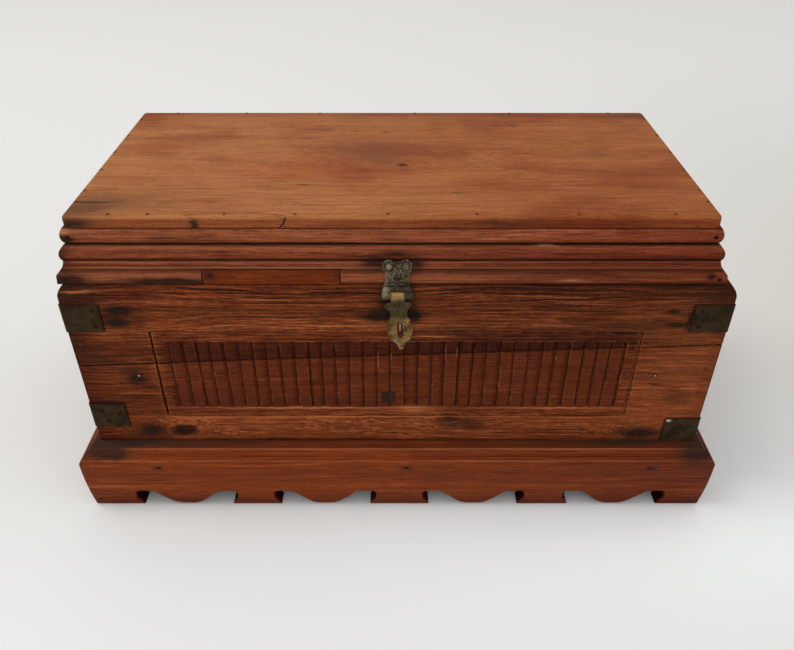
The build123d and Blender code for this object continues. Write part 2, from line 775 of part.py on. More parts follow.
def countersunk(plane, spots, head_depth):
    """Countersunk screws with their faces on the plane, driven against its normal."""
    with BuildPart() as screws:
        with BuildSketch(plane):
            with Locations(*spots):
                Circle(screw_head_radius)
        extrude(amount=-head_depth)
        with BuildSketch(plane):
            with Locations(*spots):
                Circle(screw_radius)
        extrude(amount=-screw_length)
    return screws


hinge_screw_spots = [(x + s, screw_row_y) for x, _ in seat_centres for s in hinge_screw_stations]
case_screws = countersunk(Plane.XY.offset(hinge_z - leaf_gap / 2), hinge_screw_spots, hinge_leaf)
keep(case_screws, "hinge_case_screws")
lid_face = Plane(origin=(0, 0, hinge_z + leaf_gap / 2), x_dir=(1, 0, 0), z_dir=(0, 0, -1))
lid_spots = [(x, -y) for x, y in hinge_screw_spots]
keep(countersunk(lid_face, lid_spots, hinge_leaf), "hinge_lid_screws")


# ---- nails and brackets ------------------------------------------------------------------
def nails(places, length):
    """Round nails with low domed heads; each place is a plane whose normal points out."""
    with BuildPart() as driven:
        for place in places:
            with BuildSketch(place):
                Circle(nail_radius)
            extrude(amount=-length)
            with BuildSketch(place):
                Circle(nail_head_radius)
            extrude(amount=nail_head_height, taper=nail_head_taper)
    return driven


def spot(side, along, height, out=0.0):
    """The place of a nail in a face of the chest: 'along' to the right, as one looks at it."""
    plane = side.face(out)
    return Plane(origin=plane.from_local_coords((along, height, 0)), z_dir=side.outward)


def spaced(stations, start, end):
    """Places along a run, from each one's share of the way between start and end."""
    return [start + share * (end - start) for share in stations]


top_bracket_mid = rim_z - top_bracket_drop - bracket_height / 2
low_bracket_mid = plinth_height + low_bracket_rise + bracket_height / 2
pair = ((nail_pair_in, nail_pair_half), (nail_pair_in, -nail_pair_half))
brackets = {
    "front_left_top": ("front", -1, top_bracket_mid, pair),
    "front_left_bottom": ("front", -1, low_bracket_mid, three_nails),
    "front_right_top": ("front", 1, top_bracket_mid, pair),
    "front_right_bottom": ("front", 1, low_bracket_mid - low_right_drop, skewed_nails),
    "back_left_top": ("back", 1, top_bracket_mid, pair),
    "back_left_bottom": ("back", 1, low_bracket_mid, three_nails),
    "back_right_top": ("back", -1, top_bracket_mid, pair),
    "back_right_bottom": ("back", -1, low_bracket_mid, three_nails),
}
flank_pair = ((flank_pair_in, flank_pair_half), (flank_pair_in, -flank_pair_half))
bracket_spots = []
for name, (side_name, hand, middle, pattern) in brackets.items():
    side = sides[side_name]
    corner = side.face().from_local_coords((hand * half_width, 0, 0))
    flank = sides["right" if corner.X > 0 else "left"]
    flank_hand = -hand
    places = [spot(side, hand * (half_width - x), middle + z, bracket_sheet) for x, z in pattern]
    places += [
        spot(flank, flank_hand * (half_depth - x), middle + z, bracket_sheet) for x, z in flank_pair
    ]
    bracket_spots += places
    with BuildPart() as bracket:
        with BuildSketch(Plane.XY.offset(middle - bracket_height / 2)):
            RectangleRounded(
                case_width + 2 * bracket_sheet, case_depth + 2 * bracket_sheet,
                corner_radius + bracket_sheet,
            )
            RectangleRounded(case_width, case_depth, corner_radius, mode=Mode.SUBTRACT)
            with Locations((corner.X, corner.Y)):
                Rectangle(2 * bracket_reach, 2 * bracket_side_reach, mode=Mode.INTERSECT)
        extrude(amount=bracket_height)
        if "bottom" in name:
            with BuildSketch(side.face()):
                inner = hand * (half_width - bracket_reach)
                upper = middle + bracket_height / 2
                Polygon(
                    (inner, upper), (inner + hand * bracket_clip, upper),
                    (inner, upper - bracket_clip), align=None,
                )
            extrude(amount=2 * bracket_sheet, mode=Mode.SUBTRACT)
        for place in places:
            with BuildSketch(place):
                Circle(nail_radius)
            extrude(amount=-bracket_sheet, mode=Mode.SUBTRACT)
    keep(bracket, f"bracket_{name}")
keep(nails(bracket_spots, bracket_nail_length), "bracket_nails")

corner_column = half_width - wall / 2
column = spaced(corner_stations, low_bracket_mid + bracket_height, top_bracket_mid - bracket_height)
corner_spots = [
    spot(sides[name], hand * corner_column, z)
    for name in ("front", "back") for hand in (-1, 1) for z in column
]
keep(nails(corner_spots, corner_nail_length), "case_corner_nails")

stray_z = plinth_height + stray_rise
keep(nails([spot(front, hand * stray_x, stray_z) for hand in (-1, 1)], nail_length),
     "front_board_nails")


def plinth_face(height):
    """How far out the face of the plinth stands at a height: it leans in towards the floor."""
    cheek = plinth_height - widest_drop - toe_radius
    fall = max(0.0, cheek - height) / (cheek - toe_radius)
    return plinth_out - plinth_lean * fall * fall


plinth_spots = []
for name, side in sides.items():
    run = side.length / 2 + plinth_out
    stations = plinth_row if side.length == case_width else (0.0, 1.0)
    nail_out = plinth_face(plinth_nail_z) - nail_sink
    for x in spaced(stations, plinth_row_end - run, run - plinth_row_end):
        plinth_spots.append(spot(side, x, plinth_nail_z, nail_out))
toe_x = toe_nail_in - half_width - plinth_out
plinth_spots.append(spot(front, toe_x, toe_nail_z, plinth_face(toe_nail_z) - nail_sink))
keep(nails(plinth_spots, plinth_nail_length), "plinth_nails")

bead_z = lid_z + (torus_top + rail_height) / 2
mitre_spots = []
for name in ("front", "back"):
    for hand in (-1, 1):
        for out, z in ((bead_in, bead_z), (lip_in + lip_flare / 2, lid_z + lip_height / 2)):
            nail_x = hand * (half_width - out - mitre_nail_in)
            mitre_spots.append(spot(lid_sides[name], nail_x, z, -out))
keep(nails(mitre_spots, nail_length), "rail_corner_nails")

board_half_x = board_width / 2 - lid_nail_inset
board_half_y = board_depth / 2 - lid_nail_inset
long_end = board_width / 2 - row_end
side_end = board_depth / 2 - side_row_end
lid_spots = [(x, -board_half_y) for x in spaced(front_row, -long_end, long_end)]
lid_spots += [(x, board_half_y) for x in spaced(back_row, -long_end, long_end)]
side_spots = spaced(side_row, -side_end, side_end)
lid_spots += [(hand * board_half_x, y) for hand in (-1, 1) for y in side_spots]
nail_top = top_z - nail_sink
lid_places = [Plane(origin=(x + lid_shift, y, nail_top), z_dir=(0, 0, 1)) for x, y in lid_spots]
keep(nails(lid_places, nail_length + lid_board_thickness), "lid_board_nails")
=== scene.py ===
# %% [markdown]
# # A small damchiya chest, dressed for looking at
#
# The chest is already built as separate boards, mouldings and brass fittings. This lesson gives
# each piece the surface of an old, much handled chest: oiled hardwood, knife-cut carving, tarnished
# brass. Pieces whose shape is right keep it and get a finish. Pieces whose wear is part of their
# shape are made again as numpy surfaces that fill the same place.

# %% Load the frame
import math
from functools import reduce

import bpy
import numpy as np
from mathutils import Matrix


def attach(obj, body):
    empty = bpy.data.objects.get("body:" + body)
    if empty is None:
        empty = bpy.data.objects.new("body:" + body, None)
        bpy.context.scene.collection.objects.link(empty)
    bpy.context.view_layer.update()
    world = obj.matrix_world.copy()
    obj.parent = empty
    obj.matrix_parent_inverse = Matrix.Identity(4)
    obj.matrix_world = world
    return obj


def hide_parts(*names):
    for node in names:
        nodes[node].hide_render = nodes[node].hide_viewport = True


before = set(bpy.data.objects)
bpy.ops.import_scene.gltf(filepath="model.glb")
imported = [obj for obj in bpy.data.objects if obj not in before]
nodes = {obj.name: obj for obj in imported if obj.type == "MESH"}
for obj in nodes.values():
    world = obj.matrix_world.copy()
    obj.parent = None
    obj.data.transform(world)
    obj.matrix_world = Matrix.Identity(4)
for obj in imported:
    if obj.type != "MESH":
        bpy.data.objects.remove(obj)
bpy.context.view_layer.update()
MM = 0.001

# %% [markdown]
# ## Camera, light and floor
#
# The chest is looked at from half a metre in front of it and half a metre up, so its sides run
# together towards the floor. A camera is a place, a tilt and a lens. The sensor is 36 mm wide, and
# the lens is as long as 750 of the picture's 794 columns are wide on it. The floor is one pale
# sheet that curves up far behind the chest, so that no horizon shows. The Standard view shows each
# colour as it was mixed, where the filmic view would wash out the reds.

# %% Camera
PICTURE_WIDTH = 794
FOCAL_PIXELS = 750
CAMERA_PLACE = (0.0, -0.5271, 0.4558)
CAMERA_TILT = 34.99             # degrees below the level
SENSOR = 36.0

camera_data = bpy.data.cameras.new("camera")
camera_data.sensor_width = SENSOR
camera_data.lens = SENSOR * FOCAL_PIXELS / PICTURE_WIDTH
camera_data.clip_start = 0.01
camera = bpy.data.objects.new("camera", camera_data)
camera.location = CAMERA_PLACE
camera.rotation_euler = (math.radians(90 - CAMERA_TILT), 0, 0)
bpy.context.collection.objects.link(camera)
bpy.context.scene.camera = camera
bpy.context.scene.view_settings.view_transform = "Standard"
print("lens", round(camera_data.lens, 2))


# %% [markdown]
# ## One way to make every mesh
#
# Each new piece is worked out as an array of points and an array of faces. A skin over
# cross-sections is the most useful one: rings of points stand one behind the other, neighbours are
# joined by four-sided faces, and the two end rings are closed. The sum of the signed volumes under
# the faces tells which way they point, and a negative sum turns them round.

# %% Meshes from arrays
def signed_volume(points, quads):
    """Six times the volume, summed as a triple product over the two triangles of each face."""
    corners = [points[quads[:, k]] for k in range(4)]
    first = np.einsum("ij,ij->i", corners[0], np.cross(corners[1], corners[2]))
    second = np.einsum("ij,ij->i", corners[0], np.cross(corners[2], corners[3]))
    return float((first + second).sum())


def mesh_object(name, points, faces, smooth_below=40.0):
    """A mesh object at the origin from points in millimetres, smooth where it bends gently."""
    mesh = bpy.data.meshes.new(name)
    mesh.from_pydata((points * MM).tolist(), [], faces)
    mesh.validate()
    mesh.shade_smooth()
    mesh.set_sharp_from_angle(angle=math.radians(smooth_below))
    piece = bpy.data.objects.new(name, mesh)
    bpy.context.collection.objects.link(piece)
    return piece


def loft(name, rings, smooth_below):
    """A closed skin over rings[section, point, xyz], with a flat face on each end ring."""
    sections, count, _ = rings.shape
    index = np.arange(sections * count).reshape(sections, count)
    here, there = index[:-1], index[1:]
    quads = np.stack([here, there, np.roll(there, -1, 1), np.roll(here, -1, 1)], axis=-1)
    quads = quads.reshape(-1, 4)
    points = rings.reshape(-1, 3)
    ends = [index[0].tolist(), index[-1][::-1].tolist()]
    middle = points - points.mean(axis=0)
    if signed_volume(middle, quads) < 0:
        quads = quads[:, ::-1]
        ends = [end[::-1] for end in ends]
    return mesh_object(name, points, quads.tolist() + ends, smooth_below)


def paint(piece, name, values):
    """Writes one number per point into the piece, where its finish can read it."""
    field = piece.data.attributes.new(name, "FLOAT", "POINT")
    field.data.foreach_set("value", values.astype(np.float32).ravel())


# %% Floor and backdrop
FLOOR_HALF = 6000.0
BACKDROP_START = 2600.0
BACKDROP_RADIUS = 2200.0

turn = np.linspace(0, math.pi / 2, 24)
profile = np.concatenate([
    [[-FLOOR_HALF, 0.0]],
    np.column_stack([BACKDROP_START + BACKDROP_RADIUS * np.sin(turn),
                     BACKDROP_RADIUS * (1 - np.cos(turn))]),
    [[BACKDROP_START + BACKDROP_RADIUS, FLOOR_HALF]],
])
sheet_points = np.array([[x, y, z] for x in (-FLOOR_HALF, FLOOR_HALF) for y, z in profile])
row = len(profile)
sheet_faces = [[i, row + i, row + i + 1, i + 1] for i in range(row - 1)]
floor = mesh_object("floor", sheet_points, sheet_faces)


# %% [markdown]
# ## Writing a finish as a short program
#
# A finish is a network of nodes, and a network is easier to read as lines of text. Each method of
# the class below adds a few nodes and returns their output. All places are in millimetres on the
# chest, so a knot or a stain can be put where it belongs with a ruler.

# %% The finish writer
def linear(red, green, blue):
    """A colour as a paint chart gives it, 0 to 255, turned into the light it sends back."""
    levels = np.array([red, green, blue]) / 255.0
    light = np.where(levels <= 0.04045, levels / 12.92, ((levels + 0.055) / 1.055) ** 2.4)
    return (*[float(v) for v in light], 1.0)


class Finish:
    """A material built line by line: each method adds nodes and returns their output."""

    def __init__(self, name):
        self.material = bpy.data.materials.new(name)
        self.material.use_nodes = True
        self.nodes = self.material.node_tree.nodes
        self.links = self.material.node_tree.links
        self.shader = next(n for n in self.nodes if n.type == "BSDF_PRINCIPLED")
        self.place = self.vector("SCALE", self.node("TexCoord").outputs["Object"], 1 / MM)
        self.x, self.y, self.z = self.split(self.place)

    def feed(self, socket, value):
        if isinstance(value, bpy.types.NodeSocket):
            self.links.new(value, socket)
        else:
            socket.default_value = value

    def node(self, kind, inputs=None, **settings):
        """Adds one node; its inputs are fed by number or name, and None leaves one as it is."""
        node = self.nodes.new("ShaderNode" + kind)
        for name, value in settings.items():
            setattr(node, name, value)
        for socket, value in (inputs or {}).items():
            if value is not None:
                self.feed(node.inputs[socket], value)
        return node

    def show(self, name, value):
        """Feeds an input of the shader itself."""
        self.feed(self.shader.inputs[name], value)

    def math(self, operation, a, b=0.0, c=0.0):
        return self.node("Math", {0: a, 1: b, 2: c}, operation=operation).outputs[0]

    def add(self, *values):
        return reduce(lambda total, value: self.math("ADD", total, value), values)

    def times(self, *values):
        return reduce(lambda total, value: self.math("MULTIPLY", total, value), values)

    def less(self, a, b):
        return self.math("SUBTRACT", a, b)

    def least(self, a, b):
        return self.math("MINIMUM", a, b)

    def absolute(self, value):
        return self.math("ABSOLUTE", value)

    def vector(self, operation, a, b=None, c=None):
        second = "Scale" if operation == "SCALE" else 1
        node = self.node("VectorMath", {0: a, second: b, 2: c}, operation=operation)
        single = operation in ("DOT_PRODUCT", "LENGTH", "DISTANCE")
        return node.outputs["Value" if single else "Vector"]

    def split(self, vector):
        return self.node("SeparateXYZ", {0: vector}).outputs

    def join(self, x, y, z):
        return self.node("CombineXYZ", {0: x, 1: y, 2: z}).outputs[0]

    def noise(self, vector, sizes, detail=2.0, rough=0.5, seed=0.0):
        """Soft random values from 0 to 1; sizes are the lengths of its patches along x, y, z."""
        shrink = tuple(1.0 / size for size in sizes)
        apart = (seed * 7.31, seed * 3.17, seed * 5.53)
        inputs = {"Vector": self.vector("MULTIPLY_ADD", vector, shrink, apart), "Scale": 1.0,
                  "Detail": detail, "Roughness": rough}
        return self.node("TexNoise", inputs, noise_dimensions="3D").outputs["Fac"]

    def step(self, value, low, high):
        """0 below low, 1 above high, and a soft S between them; it runs down if high is lower."""
        start, end = (1.0, 0.0) if high < low else (0.0, 1.0)
        inputs = {"Value": value, "From Min": min(low, high), "From Max": max(low, high),
                  "To Min": start, "To Max": end}
        return self.node("MapRange", inputs, interpolation_type="SMOOTHSTEP").outputs[0]

    def ramp(self, value, stops):
        """Reads a value as a colour between stops of (position, tone)."""
        node = self.node("ValToRGB", {0: value})
        node.color_ramp.interpolation = "EASE"
        marks = node.color_ramp.elements
        while len(marks) < len(stops):
            marks.new(0.5)
        for mark, (position, tone) in zip(marks, stops):
            mark.position = position
            mark.color = linear(*tone)
        return node.outputs[0]

    def mix(self, share, a, b, way="MIX"):
        inputs = {0: share, 6: a, 7: b}
        return self.node("Mix", inputs, data_type="RGBA", blend_type=way).outputs[2]

    def stain(self, share, tone):
        """Mixes a tone, red, green and blue from 0 to 255, into the colour."""
        self.colour = self.mix(share, self.colour, linear(*tone))

    def field(self, name):
        return self.node("Attribute", attribute_name=name).outputs["Fac"]

    def bell(self, centre, sizes, place=None):
        """1 at the centre, falling off as exp(-r*r), with r measured in the three sizes."""
        away = self.vector("SUBTRACT", self.place if place is None else place, centre)
        scaled = self.vector("MULTIPLY", away, tuple(1.0 / size for size in sizes))
        squared = self.vector("DOT_PRODUCT", scaled, scaled)
        return self.math("EXPONENT", self.times(squared, -1.0))

    def relief(self, height, depth):
        """Raises the surface by 'depth' millimetres where the height is 1."""
        node = self.node("Bump", {"Strength": 1.0, "Distance": depth * MM, "Height": height})
        self.show("Normal", node.outputs[0])

    def wear(self, piece):
        """Puts this finish on every material slot of a piece."""
        if not piece.material_slots:
            piece.data.materials.append(self.material)
        for slot in piece.material_slots:
            slot.material = self.material


# %% [markdown]
# ## Light
#
# One large lamp high on the left makes the shadow to the right, as soft as a cloudy window's. A
# weaker one in front opens the carved face, and a pale surround fills the rest.

# %% Lamps and surround
def lamp(name, place, aim, size, watts, colour):
    data = bpy.data.lights.new(name, "AREA")
    data.shape = "DISK"
    data.size = size
    data.energy = watts
    data.color = colour
    light = bpy.data.objects.new(name, data)
    light.location = place
    away = np.array(place) - np.array(aim)
    light.rotation_euler = (
        math.atan2(math.hypot(away[0], away[1]), away[2]), 0.0,
        math.atan2(away[1], away[0]) + math.pi / 2,
    )
    bpy.context.collection.objects.link(light)


AIM = (0.0, 0.0, 0.1)
lamp("key_lamp", (-1.7, -0.1, 3.0), AIM, 1.5, 31.0, (1.0, 0.985, 0.96))
lamp("fill_lamp", (0.3, -2.6, 2.2), AIM, 2.0, 4.0, (0.96, 0.98, 1.0))
world = bpy.data.worlds.new("surround")
world.use_nodes = True
surround = next(n for n in world.node_tree.nodes if n.type == "BACKGROUND")
surround.inputs["Color"].default_value = (0.965, 0.97, 0.965, 1.0)
surround.inputs["Strength"].default_value = 0.87
bpy.context.scene.world = world

# The paper's colour carries painted light and shade: darker far back and far to the right, and
# lighter round the chest, where its shadow falls.
f = Finish("paper_with_painted_light_and_shade")
painted_shade_far = f.mix(f.step(f.y, -320, 60), (0.835, 0.84, 0.83, 1), (0.765, 0.76, 0.745, 1))
painted_shade_right = f.times(f.step(f.x, 60, 620), f.step(f.y, 1200, -300))
painted_light = f.least(f.add(f.bell((130, -175, 0), (260, 70, 90)),
                    f.times(f.bell((318, -70, 0), (80, 110, 90)), 0.45)), 1)
aside = f.mix(painted_shade_right, painted_shade_far, (0.6, 0.57, 0.515, 1))
f.show("Base Color", f.mix(painted_light, aside, (0.9, 0.925, 0.93, 1)))
f.show("Roughness", 0.9)
f.wear(floor)

# %% [markdown]
# ## Old oiled hardwood
#
# Wood is a bundle of long fibres, so its pattern is noise stretched along the board. Broad bands,
# streaks a few millimetres wide and single fibres are added up and read as a colour. Three more
# layers lie on top: dark checks where the surface has opened, pale fibres where it has been rubbed,
# and short open pores. The place is bent slightly before it is read, so that the grain wanders, and
# it is bent more round a knot, so that the lines flow past it. The same layers drive the relief.

# %% Wood
# The second tone darkens the lid's hollows and the lip patch's joints: dirt, and painted shade in
# the hollows.
DEAD_WOOD, DIRT_AND_SHADE_TONE = (34, 18, 10), (30, 12, 6)


class Wood(Finish):
    """A finish for a board whose fibres run along axis 0, 1 or 2.

    The value is bands + streaks + fibres, each a noise stretched along the board, and the tones
    are read from it. Each knot is (centre, length, width, push): near it the grain is pushed
    aside by push millimetres times a bell. The first tone is also that of the checks and pores,
    and the last one that of the rubbed fibres.
    """

    def __init__(self, name, along, tones, seed, contrast=1, fine=1, knots=(), wander=5,
                 rough=0.55, depth=0.25, checks=0, check_level=0.62, rubbed=0, pores=0.5,
                 gleam=0.05, lines=0.4):
        super().__init__(name)
        self.gleam = gleam
        self.along, self.seed, self.base_rough, self.depth = along, seed, rough, depth
        sideways = tuple(0 if axis == along else 1 for axis in range(3))
        stray = self.less(self.noise(self.place, self.sizes(170, 40), 2, seed=seed), 0.5)
        push = self.times(stray, 2 * wander)
        for centre, length, width, shove in knots:
            push = self.add(push, self.times(self.bell(centre, self.sizes(length, width)), shove))
        self.grain = self.vector("ADD", self.place, self.vector("SCALE", sideways, push))
        bands = self.layer(420, 15 * fine, 3, 0.55, 1.7)
        streaks = self.layer(110, 2.1 * fine, 3, 0.65, 3.1)
        fibres = self.layer(32, 0.95 * fine, 3, 0.7, 5.3)
        grit = self.less(self.layer(5, 0.9, 2, 0.7, 21.9), 0.5)
        value = self.add(self.times(bands, 0.24), self.times(streaks, 0.32),
                         self.times(fibres, 0.44), self.times(grit, 0.22))
        value = self.add(self.times(self.less(value, 0.5), 2.9 * contrast), 0.5)
        self.value, self.streaks, self.fibres = value, streaks, fibres
        self.colour = self.ramp(value, tones)
        darkest, palest = tones[0][1], tones[-1][1]
        thin = self.step(self.layer(76, 1.5 * fine, 3, 0.6, 17.3), 0.55, 0.66)
        self.stain(self.times(thin, lines), darkest)
        self.height = self.add(self.times(streaks, 0.5), self.times(fibres, 0.5),
                               self.times(thin, -0.4 * lines))
        self.open = self.layer(90, 1.25 * fine, 3, 0.6, 9.1)
        if rubbed:
            pale = self.step(self.layer(30, 1 * fine, 2, 0.6, 12.7), 0.56, 0.72)
            self.stain(self.times(pale, rubbed), palest)
            self.height = self.add(self.height, self.times(pale, 0.3))
        if checks:
            crack = self.step(self.open, check_level, check_level + 0.07)
            self.crack(self.times(crack, checks), darkest)
        if pores:
            pit = self.step(self.layer(8, 0.85, 1, 0.5, 7.9), 0.62, 0.72)
            self.stain(self.times(pit, pores), darkest)
            self.height = self.less(self.height, self.times(pit, 0.6 * pores))

    def sizes(self, long, across):
        return tuple(long if axis == self.along else across for axis in range(3))

    def layer(self, long, across, detail, rough, seed):
        return self.noise(self.grain, self.sizes(long, across), detail, rough, self.seed + seed)

    def crack(self, share, tone=DEAD_WOOD):
        """Darkens the wood and sinks it."""
        self.stain(share, tone)
        self.height = self.less(self.height, self.times(share, 1.2))

    def shaken(self, reach, seed=0):
        """The place, moved by noise that is longer along the grain, so that blots get ragged."""
        dx = self.less(self.noise(self.place, self.sizes(10, 2.6), 3, 0.65, seed + 31), 0.5)
        dz = self.less(self.noise(self.place, self.sizes(14, 6), 3, 0.6, seed + 37), 0.5)
        moves = [0, 0, 0]
        moves[self.along] = self.times(dx, 2.2 * reach)
        for axis in range(3):
            if axis != self.along:
                moves[axis] = self.times(dz, reach)
        return self.vector("ADD", self.place, self.join(*moves))

    def block(self, left, right, low, high, soft=0.4):
        """1 inside a box drawn on the front, 0 outside, with soft sides."""
        return self.times(self.step(self.x, left - soft, left + soft),
                          self.step(self.x, right + soft, right - soft),
                          self.step(self.z, low - soft, low + soft),
                          self.step(self.z, high + soft, high - soft))

    def blots(self, spots, tone, reach, seed, most=0.92):
        """Stains as a sum of bells read at a shaken place; spots are (centre, sizes, strength)."""
        ragged = self.shaken(reach, seed)
        total = self.add(*[self.times(self.bell(centre, sizes, ragged), strength)
                           for centre, sizes, strength in spots])
        broken = self.times(total, self.add(self.times(self.fibres, 1.2), 0.4))
        self.stain(self.least(broken, most), tone)

    def knot(self, centre, sizes, dark, rings, seed=0):
        """A dead branch: a dark oval with growth rings, sin(rings * r), and a ragged rim."""
        ragged = self.shaken(5, seed + centre[0])
        away = self.vector("SUBTRACT", ragged, centre)
        r = self.vector("LENGTH", self.vector("MULTIPLY", away, tuple(1 / q for q in sizes)))
        inside = self.step(r, 1.3, 0.6)
        wave = self.add(self.times(self.math("SINE", self.times(r, rings)), 0.13),
                        self.times(self.less(self.fibres, 0.5), 0.9), 0.8)
        heart = self.step(r, 0.7, 0.1)
        share = self.least(self.times(self.add(inside, self.times(heart, 0.3)), wave, dark), 0.95)
        self.stain(share, DEAD_WOOD)
        rim = self.times(self.step(r, 1, 1.2), self.step(r, 1.45, 1.25), self.fibres)
        self.stain(self.times(rim, 0.22 * dark), (190, 112, 66))
        self.height = self.less(self.height, self.times(share, 0.8))

    def veil(self, mask, tint, share=1):
        """Lays a see-through tint over the part of the surface that the mask names."""
        self.colour = self.mix(self.times(mask, share), self.colour, linear(*tint), "MULTIPLY")

    def shade(self, value, low, high, tint, share=1):
        """A veil that comes in where the value runs from low to high."""
        self.veil(self.step(value, low, high), tint, share)

    def finish(self):
        """Joins the colour, the relief and a broken sheen to the shader."""
        self.show("Specular IOR Level", self.gleam)
        self.show("Base Color", self.colour)
        patch = self.noise(self.place, (34, 34, 34), 3, seed=self.seed + 11)
        gloss = self.add(self.times(self.less(patch, 0.5), 0.3),
                         self.times(self.less(self.fibres, 0.5), 0.25), self.base_rough)
        self.show("Roughness", self.least(gloss, 0.95))
        self.relief(self.height, self.depth)
        return self


def groove(f, distance, radius, half):
    """A narrow bell in the distance: 1 on the ring of this radius, 0 away from it."""
    away = f.times(f.less(distance, radius), 1 / half)
    return f.math("EXPONENT", f.times(away, away, -1))


LID_TONES = [(0.12, (108, 58, 30)), (0.36, (147, 88, 50)), (0.56, (168, 107, 63)),
             (0.80, (184, 125, 77))]
RAIL_TONES = [(0.12, (68, 29, 14)), (0.38, (119, 59, 33)), (0.6, (145, 77, 47)),
              (0.84, (180, 110, 74))]
CASE_TONES = [(0.16, (43, 20, 9)), (0.36, (90, 42, 18)), (0.56, (126, 59, 27)),
              (0.8, (172, 97, 54))]
PLINTH_TONES = [(0.12, (70, 27, 8)), (0.38, (106, 44, 13)), (0.6, (126, 54, 16)),
                (0.84, (156, 78, 31))]
REPAIR_TONES = [(0.12, (62, 22, 7)), (0.45, (100, 40, 12)), (0.8, (144, 68, 26))]
PLUG_TONES = [(0.15, (34, 19, 11)), (0.5, (54, 32, 19)), (0.85, (78, 48, 29))]
finish_of = {}                  # by the name of the piece

# %% [markdown]
# ## The lid board
#
# The board is rubbed smooth and pale by hands, so its lines are faint. One knot sits near the
# middle, with a smoky stain on its left, and the grain flows round it. Its right half is darker and
# redder. Grey grime has gathered at the left front corner and along the back edge.

# %% Finish of the lid board
TOP = 239.3
TOP_SKIN = 20                   # stains on top fade out this deep in the board
KNOT = (3.6, -15.9, TOP)
REPAIR_MIDDLE, REPAIR_HALF = -104, 33


def on_top(*rows):
    """Stains on the lid from rows of x, y, length, width and strength."""
    return [((x, y, TOP), (long, wide, TOP_SKIN), strength) for x, y, long, wide, strength in rows]


w = Wood("wood_lid_board", 0, LID_TONES, 3, contrast=0.62, fine=1.05, wander=7, rough=0.5,
         depth=0.10, checks=0.4, check_level=0.67, rubbed=0.12,
         knots=[(KNOT, 70, 24, 20), (KNOT, 14, 5, 4),
                ((150, 5, TOP), 40, 10, 7), ((-66, 48, TOP), 26, 9, 5)])
w.shade(w.x, -70, 130, (236, 218, 204))
mottle = w.noise(w.place, (90, 50, 60), 4, 0.6, seed=5)
w.shade(mottle, 0.46, 0.66, (226, 204, 198), 0.9)
w.shade(mottle, 0.42, 0.30, (240, 240, 224), 0.9)
w.veil(w.bell((-22, 18, TOP), (56, 36, 30)), (232, 214, 204))
w.veil(w.bell((-58, -25, TOP), (60, 24, 30)), (244, 214, 206))
w.shade(w.y, 60, 96, (232, 222, 214))
w.blots(on_top((-24, 12, 21, 14, 0.42), (-10, -6, 18, 11, 0.34), (-204, -88, 16, 8, 0.9),
               (-190, -75, 40, 14, 0.5), (203, 88, 34, 9, 0.5), (150, 4.7, 10, 5, 0.35),
               (60, 92, 90, 5, 0.35), (-129, -6.7, 10, 5, 0.22)),
        (78, 50, 36), reach=12, seed=2, most=0.7)
w.knot(KNOT, (5, 3.4, TOP_SKIN), 0.8, 8)
w.blots(on_top((-8.8, 49.9, 3, 1.6, 0.7), (-64.1, -50.3, 6, 1.2, 0.7), (40, -62, 5, 1.2, 0.6),
               (-63, 63.4, 4.5, 1.1, 0.6), (-70, 36.5, 6, 1.2, 0.5), (80.5, 65.6, 2, 1, 0.7),
               (93.5, 65.6, 2.2, 1, 0.7), (-201, -76.9, 15, 0.9, 1.2)),
        (40, 26, 18), reach=4, seed=4)
w.shade(w.z, TOP - 1, TOP - 3.4, (222, 193, 190))
# An old repair in the front edge: its crack leans back along the edge and fades along the top.
drop = w.times(w.less(238.6, w.z), 1 / 7.6)
gap = w.absolute(w.add(w.x, 71.2, w.times(drop, drop, 4.6)))
w.crack(w.times(w.step(gap, 0.75, 0.25), w.step(w.y, -96.2, -96.9), w.step(w.z, 230.6, 231.4)))
beside = w.less(w.x, REPAIR_MIDDLE)
bow = w.times(beside, 1 / REPAIR_HALF)
gap = w.absolute(w.add(w.y, 93.2, w.times(bow, bow, 2.6)))
ends = w.step(w.absolute(beside), REPAIR_HALF + 1, REPAIR_HALF - 2)
w.crack(w.times(w.step(gap, 0.5, 0.15), ends, w.step(w.z, TOP - 1, TOP - 0.6), 0.7),
        (60, 32, 20))
w.blots([((66, -97.4, 234), (26, 8, 3), 0.6), ((-130.4, -97.4, 233.5), (2.4, 5, 3.4), 1.6),
         ((-208, -97.4, 233.5), (13, 8, 4.5), 1), ((150, -97.4, 233), (40, 8, 3), 0.25)],
        (46, 30, 24), reach=5, seed=6)
finish_of["lid_top_board"] = finish_of["lid_board_graft"] = w.finish()

# %% [markdown]
# ## The lid mouldings
#
# Four rails carry the board. Dirt has stayed in the hollows and rubbed off the rounds. A dark line
# of dirt and painted shade lies under the board, in the groove and in the cove, at known heights
# above the lid's lower edge, and a painted shadow line runs along that edge, where the lid meets
# the case. Pale lines on the rounds are wear with a painted highlight. The lower left corner of the
# front lip has gone black, and painted shadow rings the hasp's leaf.

# %% Finishes of the mouldings
LID_FOOT = 194.3
LIP_FRONT, LIP_SIDE, LID_MIDDLE = 106.6, 220.6, -3.3    # the lip's reach, and x of its middle
# Lines of dirt and painted shade (HOLLOWS) and of wear and painted highlight (ROUNDS): height above
# the lid's foot, half thickness, share.
HOLLOWS = [(25.7, 0.85, 1.1), (15.6, 1.5, 0.9), (36.6, 0.35, 0.9), (9, 2, 0.6)]
ROUNDS = [(13.6, 0.45, 0.55), (10.2, 0.45, 0.7), (23.6, 1.2, 0.3), (31.5, 3.2, 0.22),
          (4.6, 3, 0.3)]
